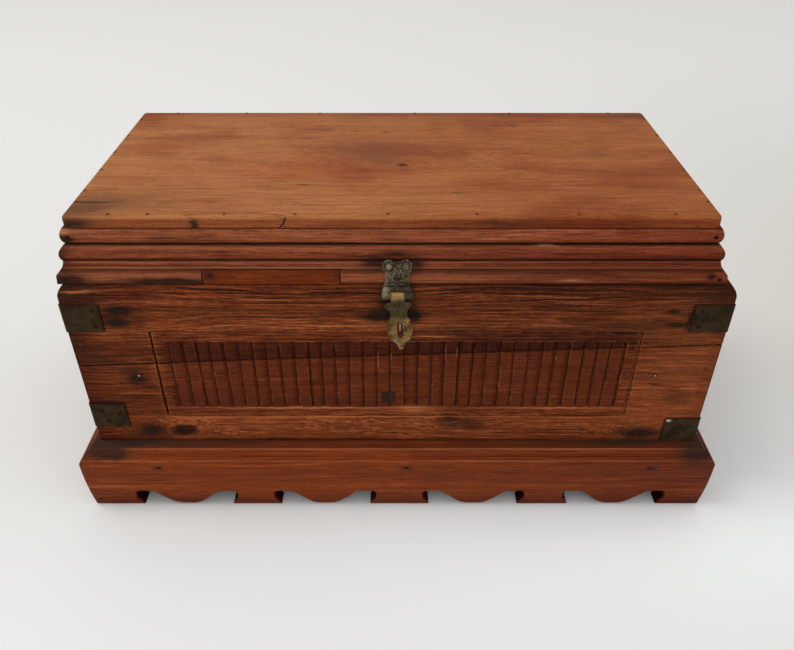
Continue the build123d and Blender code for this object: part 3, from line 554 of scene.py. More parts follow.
# Grime on the front rail; the three rows near x = 0 are painted shadow round the hasp's leaf.
GRIME_AND_LEAF_SHADOW = [((-213.6, -99, 223.4), (2.6, 6, 1.6), 1.6), ((205.6, -106, 199.4), (3.5, 6, 2), 1.2),
         ((-148, -100, 224.6), (15, 5, 0.7), 0.9), ((-14.1, -100, 208), (9, 12, 5), 1),
         ((12.6, -100, 207), (6, 12, 5), 0.9), ((0, -100, 214.5), (11, 12, 2.2), 0.9),
         ((-213, -100, 225), (9, 8, 4.5), 0.6), ((-215, -103, 197), (12, 12, 3.6), 1.5),
         ((-150, -106, 196.4), (34, 6, 2.4), 1.1), ((-220, -103, 215), (7, 20, 16), 0.7),
         ((120, -103, 200), (70, 6, 2), 0.5)]
BARE = [((97.2, -99.7, 218.7), (9, 5, 0.7), 0.4), ((114.5, -106, 196.8), (8, 5, 1.2), 0.45),
        ((-216, -100, 229.5), (8, 9, 1.6), 0.7)]
for name, axis in (("front", 0), ("back", 0), ("left", 1), ("right", 1)):
    w = Wood(f"wood_rail_{name}", axis, RAIL_TONES, 14 + axis, contrast=0.92, fine=0.95,
             rough=0.5, depth=0.16, checks=0.5, check_level=0.64, rubbed=0.3, pores=0.35, lines=0.3)
    up = w.less(w.z, LID_FOOT)
    w.veil(w.times(w.step(up, 14, 11), w.step(w.x, 40, -60)), (222, 208, 204))
    w.veil(w.times(w.step(up, 6, 9), w.step(up, 25, 23)), (238, 228, 228))
    across, middle, half = (w.y, 0, LIP_FRONT) if axis == 0 else (w.x, LID_MIDDLE, LIP_SIDE)
    outward = w.less(w.absolute(w.less(across, middle)), half)
    outside = w.step(outward, -20.5, -17.5)
    # Dark lines of dirt and painted shade in the hollows.
    dirt_and_shade, pale = ([w.times(groove(w, up, height, thick), outside, share)
                   for height, thick, share in lines] for lines in (HOLLOWS, ROUNDS))
    # A painted shadow line along the lid's lower edge, where it meets the case.
    foot = w.times(groove(w, up, 0.2, 1.1), w.step(outward, -3, -0.5), 0.8)
    w.crack(w.least(w.times(w.add(foot, *dirt_and_shade), w.add(w.streaks, 0.5)), 0.92), DIRT_AND_SHADE_TONE)
    # Pale lines of wear and painted highlight on the rounds.
    w.stain(w.times(w.add(*pale), w.streaks), (200, 128, 86))
    if name == "front":
        w.shade(w.x, -20, 160, (214, 190, 186))
        # Grime, and painted shadow round the hasp's leaf.
        w.blots(GRIME_AND_LEAF_SHADOW, (36, 20, 14), reach=5, seed=8)
        w.blots(BARE, (190, 126, 88), reach=5, seed=9, most=0.7)
    finish_of[f"lid_rail_{name}"] = w.finish()

w = Wood("wood_repair", 0, REPAIR_TONES, 52, contrast=0.6, depth=0.1, checks=0.3)
w.crack(w.step(w.absolute(w.add(w.x, 82.7)), 44.3, 45.3), DIRT_AND_SHADE_TONE)
w.crack(w.times(w.step(w.z, 202.6, 203.4), 0.8), DIRT_AND_SHADE_TONE)
w.blots([((-123, -106, 201), (4, 8, 4), 0.9), ((-40, -106, 200), (3, 8, 4), 0.5)],
        (40, 18, 10), reach=5, seed=3)
finish_of["lid_lip_patch"] = w.finish()

# %% [markdown]
# ## The carved front
#
# Two planks make the front, joined on a line that climbs to the right. A panel is cut across both:
# an outline, and thirty-three ribs between knife-cut lines. A normal map could fake such cuts, but
# they would vanish from the side. Here the wood that is gone is a function of the place on the
# face, and the face is pushed in by it. Every cut has its own lean, depth and pair of slopes, as
# hand work has. The ribs lie a little below the face, and their edges are rounded over by wear.

# %% Measures of the front
CASE_HALF, CASE_FRONT, CASE_INNER = 225.0, -111.0, -97.0
CASE_FOOT, RIM = 24.0, 193.8
JOINT_MIDDLE, JOINT_CLIMB = 138.45, 18.5 / 450.0
ARRIS = 1.5                                     # radius of the case's corners
WORN_START, WORN_BACK, WORN_BOW = 184.8, 4.0, 0.9       # the rim is worn round from here up
PANEL_LEFT, PANEL_RIGHT, PANEL_FOOT, PANEL_HEAD = -169.2, 167.2, 82.5, 158.5
FLUTE_FOOT, FLUTE_HEAD, FLUTE_PITCH, FLUTE_LINES = 91.1, 149.9, 9.6, 34
PANEL_MIDDLE = 0.5 * (FLUTE_FOOT + FLUTE_HEAD)
PLUG_X, PLUG_Z, PLUG_HALF, PLUG_HOLE = -6.6, 99.8, 5.3, 1.6
CHECKS = [                      # from x, to x, from z, to z, depth, half width
    (-152, -56, 185, 186.3, 0.8, 0.55), (-72, 6, 189.8, 189, 0.7, 0.5),
    (18, 130, 189.6, 188, 0.8, 0.55), (60, 174, 183.2, 186.8, 0.9, 0.55),
    (184, 215, 182.2, 183, 0.6, 0.45), (-118, -30, 178.4, 179.7, 0.4, 0.4),
    (-214, -150, 187.6, 188.4, 0.6, 0.5), (88, 168, 176.2, 178.4, 0.4, 0.4),
    (-27, 17, 66.4, 64, 0.7, 0.5), (110, 205, 71.6, 70.2, 0.35, 0.4),
    (-170, -60, 62.4, 61.2, 0.4, 0.4), (30, 150, 61, 61.8, 0.4, 0.4),
]


def joint(x):
    """Height of the line between the two planks."""
    return JOINT_MIDDLE + JOINT_CLIMB * x


def gate(value, low, high, soft):
    """1 between low and high, 0 outside, with straight ramps 'soft' wide at both ends."""
    rise = (value - low) / soft + 0.5
    fall = (high - value) / soft + 0.5
    return np.clip(np.minimum(rise, fall), 0.0, 1.0)


def valley(away, half):
    """A V cut of depth 1: 1 on its line, 0 from half a width away."""
    return np.clip(1.0 - np.abs(away) / half, 0.0, 1.0)


def unevenness(x, z, longest, seed, count=7):
    """A mean of sines in random directions, from -1 to 1, as a hand plane leaves a face."""
    dice = np.random.default_rng(seed)
    total = np.zeros(np.broadcast(x, z).shape)
    for _ in range(count):
        angle, phase = dice.uniform(0, 2 * math.pi, 2)
        length = longest * dice.uniform(0.25, 1.0)
        along = x * 0.35 * math.cos(angle) + z * math.sin(angle)
        total += np.sin(along * 2 * math.pi / length + phase)
    return total / count


# %% What the knife took away
dice = np.random.default_rng(19)
line_x = (np.arange(FLUTE_LINES) - (FLUTE_LINES - 1) / 2) * FLUTE_PITCH
line_x = line_x + dice.uniform(-0.55, 0.55, FLUTE_LINES)
line_lean = dice.normal(0, 0.007, FLUTE_LINES)
line_depth = dice.uniform(0.5, 1.1, FLUTE_LINES)
line_dirt_and_shade = dice.uniform(0.25, 0.85, FLUTE_LINES)
line_foot = FLUTE_FOOT + dice.uniform(-0.5, 0.7, FLUTE_LINES)
line_head = FLUTE_HEAD + dice.uniform(-0.7, 0.5, FLUTE_LINES)
gentle = dice.uniform(1.8, 4.4, FLUTE_LINES)
steep = dice.uniform(0.45, 0.8, FLUTE_LINES)
turned_round = dice.random(FLUTE_LINES) < 0.2
sliver_foot = dice.uniform(92, 140, FLUTE_LINES)
sliver_head = sliver_foot + dice.uniform(-8, 26, FLUTE_LINES)
rib_chip = dice.uniform(0, 1, FLUTE_LINES)
RIB_SINK, RIB_ROUND, RIB_EDGE = 0.5, 0.25, 1.6


def flutes(x, z):
    """Depth, dirt and painted shade, more painted shade, and pale wear and highlight of the fluted
    field.

    The ribs are sunk, and rounded towards their lines by a bell over the distance to the nearest
    line. A line's V is gentle on one side and steep on the other. Dirt and painted shade lie near
    the bottom of each V, and painted shade on its gentle side. Pale slivers, of wear and painted
    highlight, lie beside some lines and along the upper ends of the ribs.
    """
    shape = np.broadcast(x, z).shape
    cut, dirt_and_shade, shade, pale = (np.zeros(shape) for _ in range(4))
    near = np.full(shape, 99.0)
    for k in range(FLUTE_LINES):
        away = x - line_x[k] - line_lean[k] * (z - PANEL_MIDDLE)
        if turned_round[k]:
            away = -away
        half = np.where(away < 0, gentle[k], steep[k])
        reach = gate(z, line_foot[k], line_head[k], 0.8)
        cut = np.maximum(cut, line_depth[k] * valley(away, half) * reach)
        dirt_and_shade = np.maximum(dirt_and_shade, line_dirt_and_shade[k] * valley(away, 0.8) * reach)
        shade = np.maximum(shade, valley(away, 1.3 * half) * reach)
        sliver = gate(away, 0.5, 1.2, 0.4) * gate(z, sliver_foot[k], sliver_head[k], 3)
        pale = np.maximum(pale, 0.9 * sliver * reach)
        near = np.minimum(near, np.abs(away))
    across = gate(x, line_x[0], line_x[-1], 0.8)
    inside = across * gate(z, FLUTE_FOOT, FLUTE_HEAD, 0.7)
    rib = np.clip(np.floor((x - line_x[0]) / FLUTE_PITCH), 0, FLUTE_LINES - 1).astype(int)
    chips = across * gate(z, FLUTE_HEAD + 0.1, FLUTE_HEAD + 0.9, 0.3) * rib_chip[rib]
    ribs = RIB_SINK + RIB_ROUND * np.exp(-(near / RIB_EDGE) ** 2)
    return inside * ribs + cut, dirt_and_shade, shade, np.maximum(pale, chips)


def outline(x, z):
    """Depth of the panel's outline: deep at its left, double at its right, fine above and below."""
    tall = gate(z, PANEL_FOOT, PANEL_HEAD, 0.6)
    wide = gate(x, PANEL_LEFT, PANEL_RIGHT, 0.6)
    drift = 0.35 * np.sin(x / 31) + 0.2 * np.sin(x / 9 + 1)
    left = 1.8 * valley(x - PANEL_LEFT, 1.15) * tall
    right = (1.2 * valley(x - PANEL_RIGHT - 0.7, 0.8)
             + 0.9 * valley(x - PANEL_RIGHT + 0.9, 0.7)) * tall
    head = 0.75 * valley(z - PANEL_HEAD - drift, 0.65) * wide
    foot = (0.85 * valley(z - PANEL_FOOT - 0.5 * drift, 0.65)
            + 0.35 * valley(z - PANEL_FOOT - 3.6 - drift, 0.5)) * wide
    return np.maximum.reduce([left, right, head, foot])


def opened(x, z):
    """Depth of the long checks: Vs along the grain that taper to nothing at both ends."""
    cut = np.zeros(np.broadcast(x, z).shape)
    for x0, x1, z0, z1, depth, half in CHECKS:
        share = np.clip((x - x0) / (x1 - x0), 0, 1)
        path = z0 + (z1 - z0) * share + 0.35 * np.sin(x / 7.3 + z0)
        taper = np.clip(4 * share, 0, 1) * np.clip(4 * (1 - share), 0, 1)
        cut = np.maximum(cut, depth * valley(z - path, half) * taper)
    return cut


def carved(x, z):
    """All the wood that is gone from the flat face at (x, z), in millimetres."""
    hole = PLUG_HOLE * gate(x, PLUG_X - PLUG_HALF, PLUG_X + PLUG_HALF, 0.3)
    hole = hole * gate(z, PLUG_Z - PLUG_HALF, PLUG_Z + PLUG_HALF, 0.3)
    planed = 0.13 * (1 + unevenness(x, z, 60, 5))
    ribs, dirt_and_shade, shade, pale = flutes(x, z)
    lines, gaps = outline(x, z), opened(x, z)
    cut = np.maximum.reduce([ribs, lines, gaps, hole])
    dirt_and_shade = np.maximum.reduce([dirt_and_shade, lines / 1.5, gaps / 0.6, hole / PLUG_HOLE])
    return planed + cut, np.clip(dirt_and_shade, 0, 1), shade, pale


# %% Rows, columns and the two planks
turn = np.linspace(15, 90, 6) * math.pi / 180
corner_x = CASE_HALF - ARRIS + ARRIS * np.sin(turn)
INNER_HALF = 171.2
flank = np.append(np.arange(INNER_HALF + 1.6, CASE_HALF - WORN_BACK - 0.8, 1.8),
                  CASE_HALF - WORN_BACK + np.array([0, 0.6, 1.2, 1.8, 2.35]))
inner = np.arange(-INNER_HALF, INNER_HALF + 0.1, 0.4)
column = np.concatenate([-corner_x[::-1], -flank[::-1], inner, flank, corner_x])
past = np.clip(np.abs(column) - (CASE_HALF - ARRIS), 0, ARRIS)
recede = ARRIS - np.sqrt(ARRIS**2 - past**2)
JOINT_BEVEL = 0.8


def spread(first, last, pitch):
    """Heights from first up to, not with, last, about one pitch apart."""
    return np.linspace(first, last, max(1, round((last - first) / pitch)), endpoint=False)


def plank(name, low, high, height, out):
    """A plank from its face rows: height[column, row], and a flat back behind them."""
    depth, dirt_and_shade, shade, pale = carved(column[:, None], height)
    y = CASE_FRONT + out + depth + recede[:, None]
    face = np.stack([np.broadcast_to(column[:, None], height.shape), y, height], axis=-1)
    behind = np.linspace(high, low, 4).T
    back = np.stack([np.broadcast_to(column[:, None], behind.shape),
                     np.full(behind.shape, CASE_INNER), behind], axis=-1)
    piece = loft(name, np.concatenate([face, back], axis=1), 30)
    climb = np.maximum(np.gradient(height, axis=1), 0.05)
    bend = np.gradient(np.gradient(depth, column, axis=0), column, axis=0)
    bend = bend + np.gradient(np.gradient(depth, axis=1) / climb, axis=1) / climb
    edge = np.maximum(np.clip(bend * 0.3, 0, 1), pale)
    seam = 1 - np.clip(np.abs(height - joint(column)[:, None]) / 1.3, 0, 1)
    blank = np.zeros(behind.shape)
    # Each plank carries marks its finish reads: dirt and painted shade in its cuts, pale edges of
    # wear and painted highlight, and painted shade on the gentle side of each flute line.
    for mark, values in (("dirt_and_shade", np.maximum(dirt_and_shade, seam)), ("edge", edge), ("shade", shade)):
        paint(piece, mark, np.concatenate([values, blank], axis=1))
    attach(piece, "chest")
    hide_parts(name)
    print(name, len(column), "columns", height.shape[1], "rows", len(piece.data.polygons), "faces")
    return piece


line = joint(column)
fixed = np.concatenate([
    [CASE_FOOT], spread(56.5, 81, 0.85), spread(81, 87, 0.4), spread(87, 90, 1),
    spread(90, 92.4, 0.3), [93.4], [94.35, 94.65], spread(96, 104.5, 1.3), [104.95, 105.25],
    spread(106.5, 110, 1.3),
])
climb = np.append(np.linspace(0, 1, 26)[:-1], 1)
upto = 110 + (line[:, None] - JOINT_BEVEL - 110) * climb
height = np.concatenate([np.broadcast_to(fixed, (len(column), len(fixed))), upto,
                         line[:, None]], axis=1)
out = np.zeros(height.shape)
out[:, -1] = JOINT_BEVEL
front_lower = plank("front_board_lower", np.full(len(column), CASE_FOOT), line, height, out)

upto = line[:, None] + JOINT_BEVEL + (149 - line[:, None] - JOINT_BEVEL) * np.linspace(0, 1, 16)
fixed = np.concatenate([spread(149.25, 151, 0.25), spread(151, 157, 1.2),
                        spread(157, 160, 0.35), spread(160, 176, 1.4),
                        spread(176, WORN_START, 0.55), [WORN_START]])


def worn(share):
    """Out and up along the worn rim, from its start at 0 to its top at 1: a bowed slant."""
    slant = math.hypot(WORN_BACK, RIM - WORN_START)
    bow = 4 * share * (1 - share) * WORN_BOW
    return (WORN_BACK * share - bow * (RIM - WORN_START) / slant,
            WORN_START + (RIM - WORN_START) * share + bow * WORN_BACK / slant)


# The sides' rims are worn alike, so near its ends the plank's rows stop on the sides' slant.
fine_share = np.linspace(0, 1, 200)
reach = np.interp(CASE_HALF - np.abs(column), worn(fine_share)[0], fine_share)
reach = np.maximum(reach, 0.02)
share = np.linspace(0, 1, 15)[1:]
worn_out, worn_z = worn(share[None, :] * reach[:, None])
height = np.concatenate([line[:, None], upto,
                         np.broadcast_to(fixed, (len(column), len(fixed))), worn_z], axis=1)
out = np.zeros(height.shape)
out[:, 0] = JOINT_BEVEL
bruise = np.clip(unevenness(column[:, None], 0 * share, 46, 23, 9) * 1.6, 0, 1)
out[:, -len(share):] = worn_out + 3.2 * bruise * share * (1 - share) * reach[:, None]
front_upper = plank("front_board_upper", line, worn(reach)[1], height, out)

# %% [markdown]
# ## Finish of the case
#
# The case is the darkest and driest wood here. The grain is coarse, with open checks along the rim,
# the panel is stained darker, more so above the joint, and dirt and painted shade lie in every cut
# while the edges beside it are rubbed pale, with a painted highlight. Knots sit low on the front,
# the wood beside the metal is stained, and painted shadow lies round the hasp and beside the
# brackets.

# %% Finishes of the case
FACE, SKIN = CASE_FRONT, 9      # stains lie on the face and fade out SKIN deep in the wood
DRY = {"checks": 0.6, "check_level": 0.61, "pores": 0.3, "lines": 0.5}
DRY_RIM = (181, 189)            # the wood dries out between these heights


def on_front(*rows):
    """Stains on the front from rows of x, z, length, height and strength."""
    return [((x, FACE, z), (long, SKIN, high), strength) for x, z, long, high, strength in rows]


# Dark spots, from rows of x, z, length, height and strength: stains by the brackets and nails, and
# painted shadow round the hasp in the five rows near x = 0.
STAINS_AND_HASP_SHADOW = on_front(
    (-185.8, 176.3, 8, 2.6, 1.4), (-189.4, 165.7, 7, 3, 1.3), (-190, 171, 12, 8, 0.5),
    (184.6, 175.4, 5, 1.8, 1), (190, 164.5, 7, 2.2, 1.3), (197.5, 169, 1.6, 9, 1.1),
    (-13.5, 171.2, 10, 4.2, 1.5), (11.5, 171.8, 5, 4.2, 1.4), (0, 179, 10, 7, 1),
    (11, 150, 6, 3, 0.7), (0, 187, 13, 9, 0.9), (184.2, 112.9, 5, 1.2, 0.7),
    (-185.4, 118, 8, 5.5, 1), (-183.4, 68.9, 9, 5.2, 1.2), (183, 64.5, 13, 4.6, 1.3),
    (-204, 132.8, 14, 5, 0.5))
STAINS = on_front(
    (-176, 66, 28, 5, 0.6), (46, 77, 17, 7, 0.9), (183, 66.2, 20, 7, 0.6),
    (201.7, 99.7, 10, 5.5, 0.6), (-188, 125, 12, 5, 0.5), (-220, 150, 6, 12, 0.8),
    (150, 163, 30, 4, 0.7), (40, 160, 30, 4, 0.6), (-60.2, 59.6, 1.6, 0.9, 1.3),
    (-61.3, 72.3, 1.2, 0.8, 1))
STAINS += [((-214, FACE, 187), (16, 14, 8), 1.3), ((214, FACE, 186), (14, 14, 7), 0.8)]
BARE_WOOD = on_front(
    (13.2, 88.6, 12, 3, 0.7), (-60, 90.2, 70, 0.7, 0.9), (-40, 81.6, 90, 0.6, 0.8),
    (110, 90, 40, 0.7, 0.7), (25, 154.9, 11, 0.5, 1), (-210, 190, 12, 0.8, 0.9))
# The brackets' shadow lines, from x, to x, from z, to z.
SHADOWED = [(-199.4, -198.5, 158.5, 181.2), (-199.4, -198.5, 71.5, 94.6), (-226, -199, 94.2, 95),
            (198.4, 199.4, 57.9, 79.4), (199, 226, 79.8, 80.6), (198.4, 199.4, 158.5, 181.2)]
FLOW = [((-160, FACE, 70.2), 22, 9, 6), ((-187.5, FACE, 71.3), 18, 8, -4),
        ((52, FACE, 76), 34, 10, 5), ((183, FACE, 66.2), 26, 8, 5), ((-40.4, FACE, 71.5), 20, 7, 5)]
# Knots of the lower plank: x, z, length, height, darkness, rings, seed.
KNOTS = [(-158.9, 68.4, 10.5, 5.6, 1.1, 13, 1), (38, 80.6, 9, 4.2, 0.75, 11, 3),
         (58.5, 71.5, 10, 4.4, 0.35, 12, 4), (-40.4, 71, 8, 3.2, 0.25, 11, 6)]


def front_finish(half, seed, panel_share):
    """The finish of the upper or lower plank, with the panel's stain at its given share."""
    upper = half == "upper"
    w = Wood(f"wood_case_front_{half}", 0, CASE_TONES, seed, contrast=0.95 if upper else 0.8,
             fine=0.75, knots=FLOW, depth=0.34, rubbed=0.34, **DRY)
    z = w.split(w.shaken(2, 1))[2]
    across, over = w.absolute(w.x), w.absolute(w.less(w.z, PANEL_MIDDLE))
    inside = w.times(w.step(across, PANEL_RIGHT + 1, PANEL_RIGHT - 4),
                     w.step(w.absolute(w.less(z, PANEL_MIDDLE)), 41, 36))
    w.veil(inside, (204, 192, 190), panel_share)
    fluted = w.times(w.step(across, 160, 158), w.step(over, 30.2, 29.2))
    w.stain(w.times(fluted, 0.45), (104, 47, 22))
    w.veil(fluted, (168, 146, 142) if upper else (222, 210, 204), 0.8 if upper else 0.6)
    w.veil(w.field("shade"), (178, 156, 156), 0.8)
    band = w.step(z, *DRY_RIM)
    w.veil(band, (222, 212, 204), 0.9)
    deep = w.times(w.step(w.layer(210, 1.5, 3, 0.6, 15), 0.50, 0.60), band)
    w.crack(w.times(deep, 0.62), (32, 18, 11))
    if upper:
        w.shade(w.x, -20, 70, (214, 212, 216))
    w.shade(w.x, -162, -178, (222, 216, 210))
    w.shade(w.x, -196, -224, (196, 172, 162), 0.8)
    w.shade(w.x, 208, 226, (200, 186, 180), 0.6)
    w.shade(across, 222.4, 224.6, (156, 134, 124), 0.8)
    w.stain(w.times(w.step(w.x, 150, 205), w.step(z, 176, 160), 0.16), (170, 92, 48))
    w.shade(w.z, 61, 58.2, (150, 120, 110), 0.8)
    # Stains by the metal, and painted shadow round the hasp.
    w.blots(STAINS_AND_HASP_SHADOW, (28, 18, 13), reach=3, seed=3)
    w.blots(STAINS, (50, 27, 16), reach=7, seed=5, most=0.8)
    if not upper:
        for x, height, long, high, dark, rings, knot_seed in KNOTS:
            w.knot((x, FACE, height), (long, 40, high), dark, rings, knot_seed)
    w.blots(BARE_WOOD, (190, 110, 64), reach=3, seed=7, most=0.7)
    line = w.add(*[w.block(*sides) for sides in SHADOWED])
    w.crack(w.times(w.least(line, 1), 0.85), (20, 11, 7))
    # Dirt and painted shade at the bottoms of the cuts, in the checks and in the plug hole.
    w.stain(w.times(w.step(w.field("dirt_and_shade"), 0.1, 0.9), 0.85), (30, 11, 5))
    # Pale edges: rubbed wear with a painted highlight.
    nick = w.step(w.noise(w.place, (5, 5, 7), 3, seed=seed + 41), 0.44, 0.60)
    w.stain(w.times(w.field("edge"), nick, 0.5), (180, 110, 70))
    return w.finish()


for half, plank_piece, seed, share in (("lower", front_lower, 27, 0.75),
                                       ("upper", front_upper, 33, 1)):
    finish_of[f"front_board_{half}"] = front_finish(half, seed, share)
    finish_of[f"front_board_{half}"].wear(plank_piece)
for name, axis, boards in (("back", 0, ("back_board", "bottom_board")),
                           ("side", 1, ("left_side_board", "right_side_board"))):
    w = Wood(f"wood_case_{name}", axis, CASE_TONES, 57 + axis, contrast=0.95, fine=0.9,
             rough=0.58, depth=0.3, rubbed=0.32, **DRY)
    w.shade(w.z, *DRY_RIM, (170, 144, 130), 0.9)
    w.shade(w.z, 64, 58, (150, 120, 110), 0.8)
    w.finish()
    finish_of.update(dict.fromkeys(boards, w))

# %% [markdown]
# ## The plinth
#
# The plinth is sounder, redder and smoother than the case, and its ledge has gathered grime.
# Painted highlights run along the ledge's front edge and the brow below it, and painted shade lies
# on the inner faces of the feet. The grain runs round with the boards, and its dark lines are few
# and long.

# %% Finishes of the plinth
LEDGE_OUT, LEDGE_EDGE, BROW = 6.5, 55.2, 48.6   # the ledge's reach and height; the edge below it
NAIL_HALOS = [((-181.2, -125, 42.5), (3.6, 9, 1.8), 1.2), ((6.8, -125, 42.5), (4.2, 9, 1.6), 1.3),
              ((193, -125, 42.5), (4.4, 9, 2), 1)]
LEDGE_GRIME = [((-222, -116, 54), (20, 14, 6), 1.1), ((-196, -112, 56.5), (22, 4, 2), 0.9),
               ((226, -116, 52), (14, 14, 7), 1.3), ((176, -112, 57), (26, 3, 2), 1.1),
               ((-140, -112, 57.9), (60, 5, 4), 0.5), ((120, -112, 57.9), (80, 5, 4), 0.4),
               ((-213, -118, 50.5), (8, 9, 2.4), 0.9)]
for name, axis, turned in (("front", 0, -1), ("back", 0, 1), ("left", 1, -1), ("right", 1, 1)):
    w = Wood(f"wood_plinth_{name}", axis, PLINTH_TONES, 41 + axis, contrast=0.78, fine=1.1,
             rough=0.5, depth=0.09, checks=0.6, check_level=0.65, rubbed=0.25, pores=0.3,
             lines=0.35, gleam=0.08 if axis == 0 else 0.03)
    ahead, beside = (w.y, w.x) if axis == 0 else (w.x, w.y)
    half, half_beside = (-CASE_FRONT, CASE_HALF) if axis == 0 else (CASE_HALF, -CASE_FRONT)
    out = w.less(w.times(ahead, turned), half)
    # Painted shade on the inner and under faces of the feet, behind the outer face and below z =
    # 26.
    w.veil(w.times(w.step(out, 11.2, 9), w.step(w.z, 26, 22)), (120, 96, 84))
    w.shade(w.z, 14, 1, (186, 160, 150), 0.7)
    w.shade(w.x, 40, 230, (218, 202, 206), 0.8)
    ledge = w.step(w.z, LEDGE_EDGE - 0.6, LEDGE_EDGE + 0.2)
    w.veil(ledge, (206, 190, 172) if axis == 0 else (140, 112, 92), 0.7)
    w.crack(w.times(ledge, w.step(out, 1.6, 0), w.streaks), (50, 27, 15))
    # Painted highlights along the ledge's front edge and along the brow below it.
    pale = w.add(w.times(groove(w, out, LEDGE_OUT, 0.45), w.step(w.z, 53, 54.6), 0.9),
                 w.times(groove(w, w.z, BROW, 0.4), 0.5))
    w.stain(w.least(w.times(pale, w.fibres, 1.1), 0.5), (184, 108, 68))
    mitre = w.absolute(w.less(w.less(w.absolute(beside), half_beside), out))
    w.crack(w.times(w.step(mitre, 0.7, 0.1), 0.8))
    w.blots(LEDGE_GRIME, (46, 30, 20), reach=6, seed=12)
    if name == "front":
        w.blots(NAIL_HALOS, (52, 28, 17), reach=3, seed=14)
        # One dark growth line wanders along the board as z = 26.8 + 1.8 sin(x / 24).
        path = w.add(w.times(w.math("SINE", w.times(w.x, 1 / 24)), 1.8), 26.8)
        w.crack(w.times(groove(w, w.z, path, 0.35), w.streaks, 0.9), (56, 24, 11))
    finish_of[f"plinth_{name}"] = w.finish()
finish_of["panel_plug"] = Wood("wood_plug", 2, PLUG_TONES, 88, contrast=0.6, depth=0.15,
                               rough=0.62).finish()

# %% [markdown]
# ## Brass and iron
#
# Old brass is bright only where hands or the swing of the hasp rub it. Elsewhere it is brown or
# olive, and never even. A metal finish is two colours shared out by cloudy noise, with fine pits in
# its relief. The leaf of the hasp also carries punched rings and dots, which are distances to a few
# points, turned into grooves by a narrow bell.

# %% Metals
def metal(name, bright, dull, seed, worn=0.5, rough=0.5, depth=0.08, cloud=7, shine=0.85,
          gleam=0.5):
    """Old cast or rolled metal: bright where rubbed, dull where tarnish has settled."""
    f = Finish(name)
    clouds = f.noise(f.place, (cloud, cloud, cloud), 5, 0.65, seed=seed)
    speck = f.noise(f.place, (0.9, 0.9, 0.9), 3, 0.6, seed=seed + 2)
    f.tarnish = f.step(f.add(f.times(clouds, 0.7), f.times(speck, 0.3)), worn - 0.13, worn + 0.13)
    f.colour = f.mix(f.tarnish, linear(*bright), linear(*dull))
    f.height = f.add(f.times(clouds, 0.6), f.times(speck, 0.6))
    f.show("Metallic", shine)
    f.show("Specular IOR Level", gleam)
    f.rough, f.depth = rough, depth
    return f


def finish_metal(f, engraved=None):
    """Cuts the engraving in, full of grime, and joins colour, sheen and relief to the shader."""
    if engraved is not None:
        engraved = f.least(engraved, 1)
        f.stain(f.times(engraved, 0.8), (30, 24, 16))
        f.height = f.less(f.height, f.times(engraved, 1.6))
    f.show("Base Color", f.colour)
    f.show("Roughness", f.add(f.times(f.tarnish, 0.22), f.rough - 0.1))
    f.relief(f.height, f.depth)
    return f


def ring(f, x, z, *sizes):
    """Grooves round the line through (x, z) that runs straight back, of (radius, half width)."""
    near = f.vector("DISTANCE", f.join(f.x, 0, f.z), (x, 0, z))
    return f.add(*[groove(f, near, radius, half) for radius, half in sizes])


HASP_X, PIN_Z, PIN_Y = 0.2, 190.2, -114.2
DISC_X, DISC_Z = 2, 166.2
STRAY_X, STRAY_Z = 183.2, 120.8                 # a nail head worn bright, on either side
f = metal("brass_leaf", (106, 95, 74), (46, 39, 29), 63, 0.45, 0.46, 0.12, 4)
cell = f.node("TexVoronoi", {"Vector": f.vector("SCALE", f.place, 0.62), "Scale": 1.0})
dots = f.step(cell.outputs["Distance"], 0.30, 0.18)
eyes = [ring(f, x, PIN_Z + 16.7, (3.2, 0.22), (2.5, 0.2)) for x in (HASP_X - 5.5, HASP_X + 5.5)]
marks = f.add(*eyes, ring(f, HASP_X, PIN_Z + 9.8, (1, 0.3), (2.3, 0.3)), f.times(dots, 0.9),
              groove(f, f.z, PIN_Z + 4.7, 0.3), groove(f, f.z, PIN_Z + 6, 0.2))
speck = f.step(f.noise(f.place, (0.9, 0.9, 0.9), 3, 0.7, seed=64), 0.54, 0.64)
f.stain(f.times(speck, f.step(f.z, PIN_Z + 5.6, PIN_Z + 6.4), 0.75), (168, 158, 130))
f.stain(f.times(f.step(f.z, PIN_Z + 4.4, PIN_Z + 3.4), 0.6), (58, 50, 36))
f.stain(f.times(f.bell((-8, PIN_Y, PIN_Z + 7.5), (2.4, 9, 7)), 0.7), (176, 164, 132))
finish_of["hasp_leaf"] = finish_metal(f, marks)

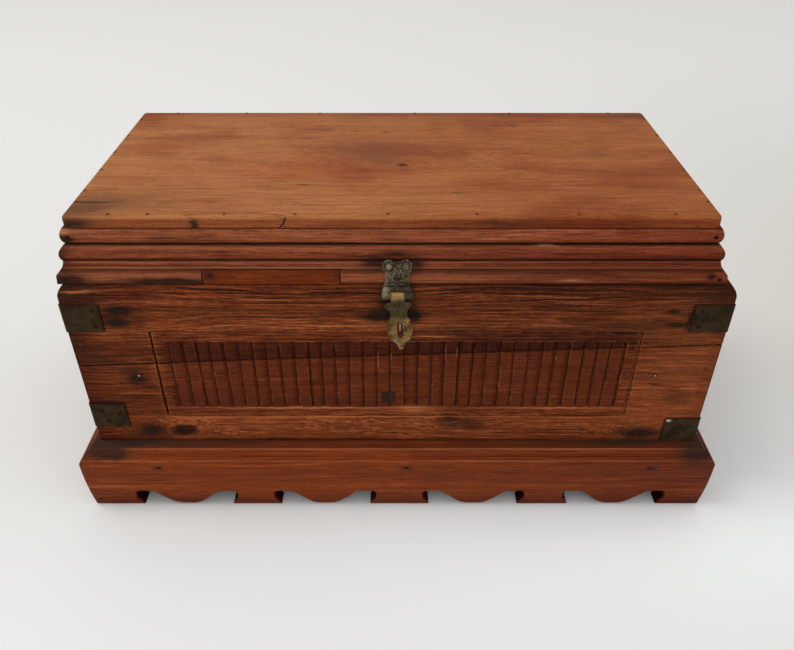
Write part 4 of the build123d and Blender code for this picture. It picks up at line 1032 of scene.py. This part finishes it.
f = metal("brass_arm", (150, 116, 68), (76, 58, 34), 66, 0.50, 0.42, 0.1, 5)
f.stain(f.times(f.step(f.z, 172, 176.5), f.step(f.z, 188.2, 187), 0.88), (60, 50, 32))
barrel = f.step(f.absolute(f.less(f.x, HASP_X)), 4, 3.4)
f.stain(f.times(f.step(f.z, 187.6, 188.6), barrel, 0.7), (160, 130, 82))
dots = [ring(f, x, z, (0.9, 0.2)) for x, z in (
    (5.6, 162.4), (-1.4, 162.4), (6.4, 166), (-2.6, 166.4), (2.4, 157.6), (3.2, 154.6))]
rings = [ring(f, x, z, (1.2, 0.25)) for x, z in (
    (0.6, 178.5), (1.2, 181.2), (-2.2, 184), (2.6, 184), (0.2, 184.6))]
disc = ring(f, DISC_X, DISC_Z, (6.9, 0.2), (4, 0.15))
marks = f.add(f.times(f.add(disc, *dots), 0.8), *rings)
finish_of["hasp_arm"] = finish_of["hasp_pin"] = finish_metal(f, marks)

f = metal("iron_rubbed", (64, 36, 22), (36, 19, 11), 79, 0.52, 0.6, 0.1, 2, 0, 0.15)
near = f.vector("DISTANCE", f.join(f.absolute(f.x), 0, f.z), (STRAY_X, 0, STRAY_Z))
f.stain(f.step(near, 0.6, 0.3), (226, 206, 186))
finish_of["front_board_nails"] = finish_metal(f)

f = metal("brass_bracket", (57, 41, 18), (34, 24, 10), 60, 0.5, 0.6, 0.08, 9, 0.2, 0.1)
f.stain(f.times(f.bell((201.6, -112, 78.4), (1.6, 9, 0.9)), 0.95), (214, 206, 176))
bracket = finish_metal(f)

# The pieces that wear a plain metal, its name, bright tone, dull tone, seed and other settings.
DULL_IRON = (0.5, 0.8, 0.1, 3, 0, 0.08)
PLAIN = [
    (("hasp_leaf_screws",), "brass_screws", (146, 136, 110), (72, 63, 47), 69, 0.52, 0.42),
    (("hinge_case_screws", "hinge_lid_screws"),
     "steel_dull", (120, 116, 110), (74, 66, 58), 78, 0.5, 0.45),
    (("lid_board_nails",),
     "iron_lid", (108, 62, 37), (66, 36, 21), 74, 0.5, 0.8, 0.1, 2, 0, 0.1),
    (("case_corner_nails",), "iron_stained", (104, 50, 22), (78, 36, 15), 77, *DULL_IRON),
    (("bracket_nails", "plinth_nails", "rail_corner_nails"),
     "iron_dark", (44, 24, 13), (24, 12, 7), 75, *DULL_IRON),
    (("staple",), "iron_staple", (188, 174, 148), (104, 90, 68), 76, 0.5, 0.4),
]
for names, *settings in PLAIN:
    finish_of.update(dict.fromkeys(names, finish_metal(metal(*settings))))
hinge = finish_metal(metal("brass_hinge", (130, 106, 66), (78, 62, 40), 72, 0.48, 0.5))

# %% Dress the pieces
for name, piece in nodes.items():
    plain = bracket if name.startswith("bracket_") else hinge
    finish_of.get(name, plain).wear(piece)
print("dressed", len(nodes))
